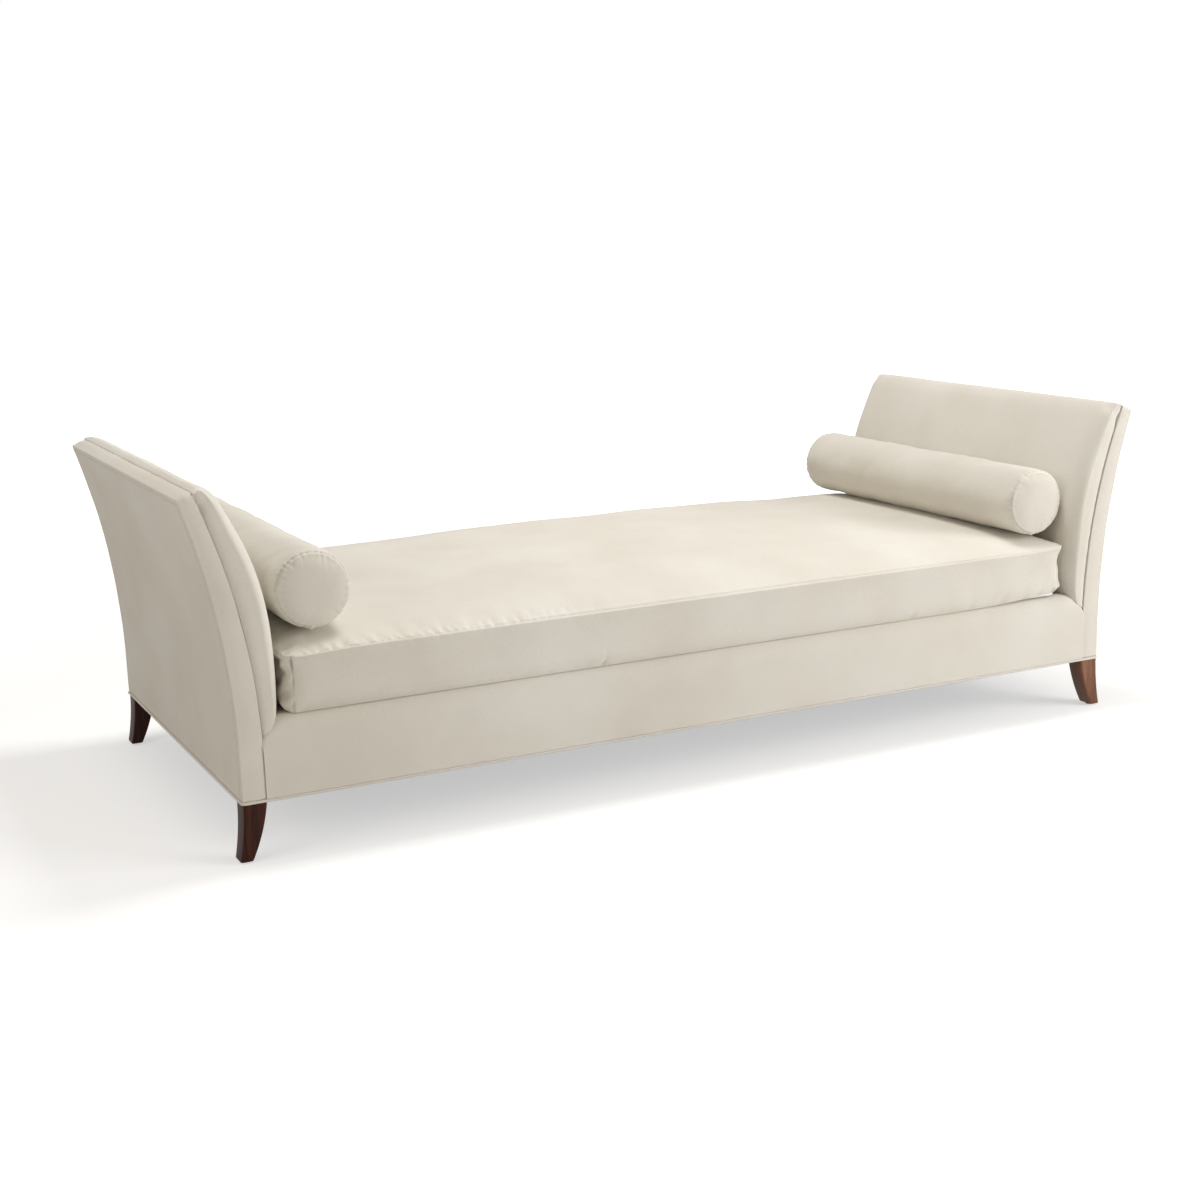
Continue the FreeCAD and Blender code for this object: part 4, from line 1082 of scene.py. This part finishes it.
def bolster(name, sign, centre_x, stretch, seed):
    """One bolster; sign is 1 at the right, where the zip faces the right arm."""
    piece, away = bolster_start(name, centre_x, stretch)
    keep_values(piece, away=away)
    swell(piece, 0.002, np.abs(away) < 1e-6, pressure=3.0, frames=12)
    refine(piece)
    spots, out = read(piece.data, "co"), read(piece.data, "normal")
    away = take_values(piece, "away")[0]
    around = np.arctan2(spots[:, 2] - BOL_Z, spots[:, 0] - centre_x)
    run = (around + math.pi) * BOL_RADIUS
    near, tube = np.abs(away), away < 0
    groove = 0.0022 * np.exp(-(near / 0.0019) ** 2) - 0.0007 * np.exp(-((near - 0.0046) / 0.0022) ** 2)
    puckers = np.zeros(len(spots))
    for end_seed, here in ((0, spots[:, 1] < 0), (7, spots[:, 1] >= 0)):
        span = (0, 2 * math.pi * BOL_RADIUS)
        tucks = creases(run[here], near[here], span, 0.0115, 0.0085, seed + end_seed, 0.2)
        puckers[here] = np.where(tube[here], 0.0030, 0.0024) * np.tanh(tucks)
    slow = 0.0010 * uneven(spots, 0.16, seed + 1) * tube * np.clip(near / 0.05, 0, 1)
    slow += 0.0006 * uneven(spots, 0.05, seed + 2) * np.clip(near / 0.012, 0, 1)
    beside_seam = np.abs((around + LONG_SEAM + math.pi) % (2 * math.pi) - math.pi) * BOL_RADIUS
    seam = 0.0007 * np.exp(-(beside_seam / 0.0016) ** 2) * tube
    beside_nub = run - (math.pi - LONG_SEAM) * BOL_RADIUS
    nub = 0.004 * np.exp(-(beside_nub / 0.004) ** 2 - ((away + 0.002) / 0.0045) ** 2)
    shaped = spots + out * (slow + nub - groove - puckers - seam)[:, None]
    beside_zip = (around - (-ZIP_TURN if sign > 0 else ZIP_TURN - math.pi)) * BOL_RADIUS
    flat_zip = np.exp(-(beside_zip / 0.0155) ** 4) * tube
    flat_zip *= np.clip((0.385 - np.abs(spots[:, 1])) / 0.012, 0, 1)
    spoke = (shaped - [centre_x, 0.0, BOL_Z]) * [1, 0, 1]
    length = np.linalg.norm(spoke, axis=1, keepdims=True)
    set_places(piece, shaped + spoke * (flat_zip[:, None] * (ZIP_ROUND - length) / np.maximum(length, 1e-6)))
    drop_values(piece, "away")
    return piece


for (end, sign, centre_x, stretch), seed in zip(BOLSTERS, (121, 141)):
    made = bolster("bolster_%s_cushion" % end, sign, centre_x, stretch, seed)
    cover(made, "bolster_" + end, "bolster_%s_cover" % end)

# %% [markdown]
# ## Legs
# Each leg is sawn from walnut in a sabre curve: its outer and inner edges sweep out to the foot and
# it thins on the way down. A loft of rounded rectangles from top to foot gives that, with the edges
# eased as sandpaper leaves them.

# %% Sabre legs
LEG_TOP, LEG_FOOT, LEG_EASE, FOOT_EASE = 0.1118, 0.003, 0.003, 0.002
LEG_DEPTH, LEG_TAPER = 0.047, 0.008
outer_arc = arc_through((1.011, 0.112), (1.014, 0.0575), (1.023, 0.003), 22)[::-1]
inner_arc = arc_through((0.966, 0.112), (0.9775, 0.0575), (0.999, 0.003), 22)[::-1]
leg_levels = (LEG_TOP, LEG_TOP - 0.0008, LEG_TOP - 0.002, *np.linspace(0.108, 0.008, 20), 0.0052, 0.0038,
              LEG_FOOT)


def leg(name, sign, side):
    """One leg: sign is 1 at the right, side is -1 at the front."""
    rings = []
    for z in leg_levels:
        x_out, x_in = (np.interp(z, arc[:, 1], arc[:, 0]) for arc in (outer_arc, inner_arc))
        share = (LEG_TOP - z) / (LEG_TOP - LEG_FOOT)
        near, far = -FACE_Y, -FACE_Y + LEG_DEPTH - LEG_TAPER * share
        shrink = roll_in(min(z - LEG_FOOT, FOOT_EASE), FOOT_EASE) * 0.8
        ring = []
        corners = ((x_out, near, 1, -1), (x_out, far, 1, 1), (x_in, far, -1, 1), (x_in, near, -1, -1))
        for corner, (x, y, sx, sy) in enumerate(corners):
            for angle in np.radians(np.linspace(-90, 0, 5) + 90 * corner):
                ring.append((x - sx * (LEG_EASE + shrink) + LEG_EASE * math.cos(angle),
                             y - sy * (LEG_EASE + shrink) + LEG_EASE * math.sin(angle), z))
            if corner in (0, 2):
                ring.append((x - sx * shrink, (near + far) / 2, z))
        rings.append(ring)
    piece = loft(name, np.array(rings) * [sign, -side, 1])
    piece.data.set_sharp_from_angle(angle=math.radians(40))
    return piece


for depth, side in (("front", -1), ("back", 1)):
    for end, sign in (("left", -1), ("right", 1)):
        place = "%s_%s" % (depth, end)
        # The right front leg gets the lit copy of the walnut: painted light, not another board.
        leg_material = walnut_painted_lit if place == "front_right" else walnut
        made = dress(leg("sabre_leg_" + place, sign, side), leg_material, "frame", "walnut", "leg_" + place)
        print(made.name, len(made.data.vertices), "points")

# %% [markdown]
# ## Stitches, zip teeth and staples
# Small things that repeat are made once and copied by Geometry Nodes. Each place is one point that
# holds two directions: the way it faces, and the way its line runs. The node tree puts a copy of the
# small shape at every point, turns it to those directions, and makes each one slightly uneven from a
# fixed seed, as a sewing machine or a staple gun leaves them. Then the copies become a plain mesh.

# %% Node tree that copies a shape along a line
copier = bpy.data.node_groups.new("copies_along_a_line", "GeometryNodeTree")
socket_of = {}
for label, kind in (("Places", "Geometry"), ("Shape", "Object"), ("Uneven size", "Float"),
                    ("Uneven turn", "Float"), ("Seed", "Int"), ("Material", "Material")):
    socket = copier.interface.new_socket(name=label, in_out="INPUT", socket_type="NodeSocket" + kind)
    socket_of[label] = socket.identifier
copier.interface.new_socket(name="Copies", in_out="OUTPUT", socket_type="NodeSocketGeometry")
given = add(copier, "NodeGroupInput")
shape = add(copier, "GeometryNodeObjectInfo", {"Object": (given, "Shape")})
faces_way, runs_way = (
    add(copier, "GeometryNodeInputNamedAttribute", {"Name": name}, data_type="FLOAT_VECTOR")
    for name in ("facing", "running"))
raised = add(copier, "FunctionNodeAlignRotationToVector", {"Vector": (faces_way, "Attribute")}, axis="Z")
lined = add(copier, "FunctionNodeAlignRotationToVector",
            {"Rotation": (raised, "Rotation"), "Vector": (runs_way, "Attribute")}, axis="X", pivot_axis="Z")
wobble = add(copier, "FunctionNodeRandomValue", {0: (-1, -1, -1), 1: (1, 1, 1), "Seed": (given, "Seed")},
             data_type="FLOAT_VECTOR")
tilt, swing = (
    add(copier, "ShaderNodeVectorMath", {0: (wobble, 0), "Scale": (given, label)}, operation="SCALE")
    for label in ("Uneven turn", "Uneven size"))
turned_by = add(copier, "FunctionNodeRotateRotation", {"Rotation": (lined, 0), "Rotate By": (tilt, 0)},
                rotation_space="LOCAL")
size = add(copier, "ShaderNodeVectorMath", {0: (swing, 0), 1: (1, 1, 1)}, operation="ADD")
copies = add(copier, "GeometryNodeInstanceOnPoints", {"Points": (given, "Places"),
             "Instance": (shape, "Geometry"), "Rotation": (turned_by, 0), "Scale": (size, 0)})
solid_copies = add(copier, "GeometryNodeRealizeInstances", {"Geometry": (copies, "Instances")})
painted = add(copier, "GeometryNodeSetMaterial",
              {"Geometry": (solid_copies, 0), "Material": (given, "Material")})
add(copier, "NodeGroupOutput", {"Copies": (painted, 0)})
print("copying tree with inputs", sorted(socket_of))


def copy_along(name, shape_of, spots, facings, runs, material, seed, size_by=0.08, turn_by=0.06):
    """A plain mesh of copies of a small shape, one at each spot."""
    carrier = build(name, spots, [])
    for label, directions in (("facing", facings), ("running", runs)):
        stored = carrier.data.attributes.new(label, "FLOAT_VECTOR", "POINT")
        stored.data.foreach_set("vector", np.asarray(directions, np.float32).ravel())
    modifier = carrier.modifiers.new("Copies", "NODES")
    modifier.node_group = copier
    for label, value in (("Shape", shape_of), ("Uneven size", size_by), ("Uneven turn", turn_by),
                         ("Seed", seed), ("Material", material)):
        modifier[socket_of[label]] = value
    settle(carrier)
    drop_values(carrier, *(label for label in ("facing", "running") if label in carrier.data.attributes))
    print(name, len(spots), "copies,", len(carrier.data.polygons), "faces")
    return carrier


def small_shape(name, rings):
    """A small loft kept out of the scene; only its copies show."""
    piece = loft(name, rings)
    bpy.context.scene.collection.objects.unlink(piece)
    return piece


# %% [markdown]
# ### Topstitch of the outside panels
# The outside panel is closed last, on the finished arm, so its edge is stitched from outside: a row
# runs 3 mm inside its top, front and back edges. A stitch is a short arch of thread, about 3 mm
# long, whose two ends dip into the cloth.

# %% Topstitch
STITCH_HALF, STITCH_RISE, STITCH_SUNK, THREAD_RADIUS = 0.0016, 0.00055, 0.0003, 0.00033
STITCH_PITCH, STITCH_IN = 0.0042, 0.0034
arch = []
for turn in np.radians(np.linspace(-90, 90, 7)):
    x, z = STITCH_HALF * math.sin(turn), STITCH_RISE * math.cos(turn) - STITCH_SUNK
    arch.append([(x, THREAD_RADIUS * math.cos(a), z + THREAD_RADIUS * math.sin(a))
                 for a in np.linspace(0, 2 * math.pi, 7)[:-1]])
stitch_shape = small_shape("thread_arch", arch)
top_z, edge_y = PANEL_TOP - STITCH_IN, PANEL_Y - STITCH_IN
rise = np.arange(SKIN_LOW + 0.006, top_z, STITCH_PITCH)
row = [(-edge_y, z, True) for z in rise]
row += [(y, top_z, False) for y in np.arange(-edge_y, edge_y, STITCH_PITCH)]
row += [(edge_y, z, True) for z in rise]
for (end, sign), seed in zip(ARMS, (301, 311)):
    spots, facings, runs = [], [], []
    for y, z, upwards in row:
        x = outside_x(z)
        lean = (outside_x(z + 0.001) - x) / 0.001
        out = np.array([1.0, 0.0, -lean]) / math.hypot(1, lean)
        way = np.array([lean, 0.0, 1.0]) / math.hypot(1, lean) if upwards else np.array([0.0, 1.0, 0.0])
        spots.append((np.array([x, y, z]) + 0.0001 * out) * [sign, 1, 1])
        facings.append(out * [sign, 1, 1])
        runs.append(way * [sign, 1, 1])
    made = copy_along("panel_topstitch_" + end, stitch_shape, spots, facings, runs, thread_cotton, seed)
    dress(made, thread_cotton, "frame", "cover_cotton")

# %% [markdown]
# ### Zips
# Each loose cover closes with a zip: two cloth tapes that meet under a chain of interlocked teeth.
# The teeth are 2.4 mm apart and come from the left and the right tape in turn. The slider has a
# body with a narrow waist, a small bridge and a flat pull. On a bolster the tape bends round with
# the cover.

# %% Teeth and sliders
def small_box(x, y, z, ease):
    """Rings of a box with eased edges, between two values on each axis."""
    rings = []
    for level, shrink in ((z[0], ease), (z[0] + ease, 0.0), (z[1] - ease, 0.0), (z[1], ease)):
        x0, x1, y0, y1 = x[0] + shrink, x[1] - shrink, y[0] + shrink, y[1] - shrink
        rings.append([(x0, y0, level), (x1, y0, level), (x1, y1, level), (x0, y1, level)])
    return rings


tooth_box = small_box((-0.00085, 0.00085), (-0.0006, 0.0025), (0.0, 0.0009), 0.0002)
tooth_shape = small_shape("zip_tooth", tooth_box)
SLIDER_EASE = 0.00022


def slider_mesh():
    """Points and faces of a slider and its pull; X runs along the zip and Z faces out."""
    body = [(-0.005, 0.0024), (-0.0035, 0.0037), (-0.001, 0.0034), (0.0025, 0.0027), (0.005, 0.0027)]
    bridge = [(-0.003, 0.0008), (-0.0022, 0.0012), (0.0024, 0.0012), (0.003, 0.0008)]
    pull = [(-0.002 + 0.024 * share, 0.0019 + 0.0007 * math.sin(share * 3)) for share in np.linspace(0, 1, 9)]
    pull = [(-0.0026, 0.0012), *pull, (0.0226, 0.0012)]
    points, faces = [], []
    for half, low, high in ((body, 0.0003, 0.0026), (bridge, 0.0026, 0.0036), (pull, 0.0036, 0.0044)):
        outline = half + [(x, -y) for x, y in reversed(half)]
        middle = np.mean(outline, axis=0)
        first, count = len(points), len(outline)
        levels = ((low, 1), (low + SLIDER_EASE, 0), (high - SLIDER_EASE, 0), (high, 1))
        for level, eased in levels:
            for spot in outline:
                inwards = (middle - spot) / np.linalg.norm(middle - spot) * SLIDER_EASE * eased
                points.append((*(spot + inwards), level))
        faces += ring_faces(np.arange(first, len(points)).reshape(-1, count))
    return np.array(points), faces


# %% Zips
TAPE_HALF, TAPE_THICK, TOOTH_PITCH = 0.011, 0.001, 0.0024
RIB_PITCH, RIB_RISE, SPLIT_WIDTH, SPLIT_DEPTH = 0.0036, 0.00012, 0.0006, 0.00035
SLIDER_LIFT = 0.0008


def fastener(stem, body, origin, ex, ez, length, slide_start, seed, radius=None):
    """Tape, teeth and slider of one zip. ex runs along it, ez faces out, slide_start is the slider's
    place, and radius is that of a round cover."""
    ex, ez = np.array(ex, float), np.array(ez, float)
    ey = np.cross(ez, ex)

    def spot(x, y, z):
        """A place on the zip."""
        if radius:
            z, y = (radius + z) * np.cos(y / radius) - radius, (radius + z) * np.sin(y / radius)
        return origin + np.multiply.outer(x, ex) + np.multiply.outer(y, ey) + np.multiply.outer(z, ez)

    along = ticks(length, 0.01, (0.0, 0.001)) - length / 2
    x, y = np.meshgrid(along, np.linspace(-TAPE_HALF, TAPE_HALF, 13))
    ribs = RIB_RISE * np.cos(y * 2 * math.pi / RIB_PITCH)
    split = SPLIT_DEPTH * np.exp(-(y / SPLIT_WIDTH) ** 2)
    tape = covering(stem + "_tape", spot(x, y, TAPE_THICK + ribs - split), spot(x, y, 0 * x + 0.0002))
    dress(tape, zip_tape_cloth, body, "zip_tape", stem)
    count = int(length / TOOTH_PITCH)
    side = np.where(np.arange(count) % 2, 1, -1)
    run = (np.arange(count) + 0.5) * TOOTH_PITCH - length / 2
    spots = spot(run, -0.0003 * side, np.full(count, TAPE_THICK - 0.0001))
    teeth = copy_along(stem + "_teeth", tooth_shape, spots, np.tile(ez, (count, 1)), np.outer(side, ex),
                       nickel, seed, size_by=0.03, turn_by=0.02)
    dress(teeth, nickel, body, "zip_metal")
    local, faces = slider_mesh()
    lifted = local[:, 2] + TAPE_THICK + SLIDER_LIFT
    shown = np.outer(local[:, 0] + slide_start, ex) + np.outer(local[:, 1], ey) + np.outer(lifted, ez)
    slider = build(stem + "_slider_and_pull", origin + shown, faces)
    slider.data.set_sharp_from_angle(angle=math.radians(35))
    dress(slider, nickel, stem + "_slider", "zip_metal", stem + "_slider")


fastener("mattress_zip", "mattress", np.array([0.0, ZIP_FLAT_Y + 0.0003, ZIP_Z]), (1, 0, 0), (0, 1, 0),
         1.5, -0.74, 321)
for (end, sign, centre_x, _), seed in zip(BOLSTERS, (331, 341)):
    out = np.array([sign, 0.0, -1.0]) / math.sqrt(2)
    origin = np.array([centre_x, 0.0, BOL_Z]) + out * (BOL_RADIUS + 0.00005)
    fastener("bolster_%s_zip" % end, "bolster_" + end, origin, (0, -1, 0), out, 0.73, -0.355, seed,
             BOL_RADIUS)

# %% [markdown]
# ### Staples under the base
# The black cloth is stapled to the rails about every 45 mm, just inside its edge. A staple shows as
# a flat wire, 10 mm long, whose ends bend up into the wood.

# %% Staples
STAPLE_Z, STAPLE_X, STAPLE_Y = 0.111, 0.993, 0.436
staple_box = small_box((-0.005, 0.005), (-0.0006, 0.0006), (-0.0004, 0.0005), 0.00015)
staple_shape = small_shape("staple_wire", staple_box)
spots = [(x, y, STAPLE_Z) for x in np.arange(-0.93, 0.931, 0.0465) for y in (-STAPLE_Y, STAPLE_Y)]
runs = [(1.0, 0.25, 0.0)] * len(spots)
spots += [(x, y, STAPLE_Z) for y in np.arange(-0.37, 0.371, 0.0462) for x in (-STAPLE_X, STAPLE_X)]
runs += [(0.2, 1.0, 0.0)] * (len(spots) - len(runs))
staples = copy_along("dust_cover_staples", staple_shape, spots, [(0, 0, -1.0)] * len(spots), runs, zinc, 351,
                     size_by=0.0, turn_by=0.12)
dress(staples, zinc, "frame", "zinc_steel")

# %% [markdown]
# ## Stage
# The divan stands on a white sweep under soft light: a broad light overhead, a softbox to the right,
# a weak one to the left and some light from all round. The floor is a plain diffuse white that also
# glows towards the camera, more so further out, so it reads white in the picture while the shadow
# under the base stays.

# %% Floor and world
FLOOR_GLOW, FAR_GLOW, GLOW_FROM, GLOW_TO = 0.51, 1.05, 1.5, 3.5
AMBIENT, WARM, WHITE = 0.37, (1.0, 0.94, 0.86, 1.0), (1.0, 1.0, 1.0, 1.0)


def seen(tree):
    """1 for rays from the camera, off a mirror and through glass, and 0 for all others."""
    path = add(tree, "ShaderNodeLightPath")
    first = math_of(tree, "MAXIMUM", (path, "Is Camera Ray"), (path, "Is Glossy Ray"))
    return math_of(tree, "MAXIMUM", (first, 0), (path, "Is Transmission Ray"))


floor_material, tree, seat = new_material("white_sweep")
away = add(tree, "ShaderNodeVectorMath", {0: (seat, "Object")}, operation="LENGTH")
brighter = spread(tree, (away, "Value"), GLOW_FROM, GLOW_TO, FLOOR_GLOW, FAR_GLOW,
                  interpolation_type="SMOOTHSTEP")
glow = math_of(tree, "MULTIPLY", (seen(tree), 0), (brighter, "Result"))
paint = add(tree, "ShaderNodeBsdfDiffuse", {"Color": colour("#D6D6D6")})
shine = add(tree, "ShaderNodeEmission", {"Color": WHITE, "Strength": (glow, 0)})
both = add(tree, "ShaderNodeAddShader", {0: (paint, 0), 1: (shine, 0)})
add(tree, "ShaderNodeOutputMaterial", {"Surface": (both, 0)})
floor = build("floor", [(-30, -30, 0), (30, -30, 0), (30, 30, 0), (-30, 30, 0)], [(0, 1, 2, 3)])
floor.data.materials.append(floor_material)
floor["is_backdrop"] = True

world = bpy.data.worlds.new("studio")
bpy.context.scene.world = world
world.use_nodes = True
tree = world.node_tree
tree.nodes.clear()
white = add(tree, "ShaderNodeBackground", {"Color": WHITE, "Strength": 1.0})
room = add(tree, "ShaderNodeBackground", {"Color": WARM, "Strength": AMBIENT})
sky = add(tree, "ShaderNodeMixShader", {0: (seen(tree), 0), 1: (room, 0), 2: (white, 0)})
add(tree, "ShaderNodeOutputWorld", {"Surface": (sky, 0)})
print("floor and world ready")

# %% Lights
def softbox(name, place, target, size, power, tone="#FFFFFF"):
    """A rectangular light at a place, turned to its target; its size in metres, its power in watts."""
    data = bpy.data.lights.new(name, "AREA")
    data.shape, data.size, data.size_y = "RECTANGLE", size[0], size[1]
    data.energy, data.color = power, colour(tone)[:3]
    light = bpy.data.objects.new(name, data)
    bpy.context.scene.collection.objects.link(light)
    towards = np.array(target, float) - np.array(place, float)
    towards /= np.linalg.norm(towards)
    side = np.cross(towards, (0, 0, 1.0) if abs(towards[2]) < 0.99 else (0, 1.0, 0))
    side /= np.linalg.norm(side)
    turned = Matrix((side, np.cross(side, towards), -towards)).transposed().to_4x4()
    light.matrix_world = Matrix.Translation(place) @ turned


softbox("overhead", (0.4, 0.1, 3.4), (0.0, 0.0, 0.0), (1.1, 0.8), 54.5)
softbox("right_box", (3.2, -3.1, 1.6), (0.1, 0.0, 0.4), (2.6, 2.2), 113.0)
softbox("left_fill", (-4.0, -1.2, 1.9), (-0.6, 0.0, 0.4), (2.0, 1.6), 25.0, "#FFF8F0")
bpy.context.scene.view_settings.view_transform = "Standard"

# %% [markdown]
# ## Inner pieces
# The frame, webbing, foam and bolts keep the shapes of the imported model, because timber is sawn
# square and foam is cut in blocks. They get the finishes of the real stuff.

# %% Finishes of the pieces that keep their shape
def finish_nodes(material, *names):
    """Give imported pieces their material."""
    for name in names:
        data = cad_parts[name].data
        data.materials.clear()
        data.materials.append(material)


finish_nodes(beech, "front_rail", "back_rail", "corner_blocks", "centre_stretchers")
for end in ("left", "right"):
    finish_nodes(beech, *(stem + end for stem in ("end_rail_", "arm_top_rail_", "arm_tack_rail_",
                                                  "arm_post_front_", "arm_post_back_")))
    finish_nodes(webbing_cloth, "arm_webbing_" + end)
finish_nodes(webbing_cloth, "seat_webbing_cross", "seat_webbing_long")
finish_nodes(felt, "deck_insulator")
finish_nodes(foam, "deck_pad", "front_edge_roll", "back_edge_roll", "mattress_core")
finish_nodes(fibre, "mattress_wrap", "bolster_left_insert", "bolster_right_insert")
finish_nodes(zinc, "corner_bolts", "leg_bolts")
finish_nodes(nylon, "leg_glides")
print("nodes that keep their shape", sum(not node.hide_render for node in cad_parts.values()))

# %% [markdown]
# ## Sizes at the end
# The bounds of the imported model and of the dressed divan are printed side by side.

# %% Sizes and finish
shown_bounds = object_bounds()
for label, box in (("packed", cad_bounds), ("dressed", shown_bounds)):
    print(label, [[round(value, 4) for value in corner] for corner in box])
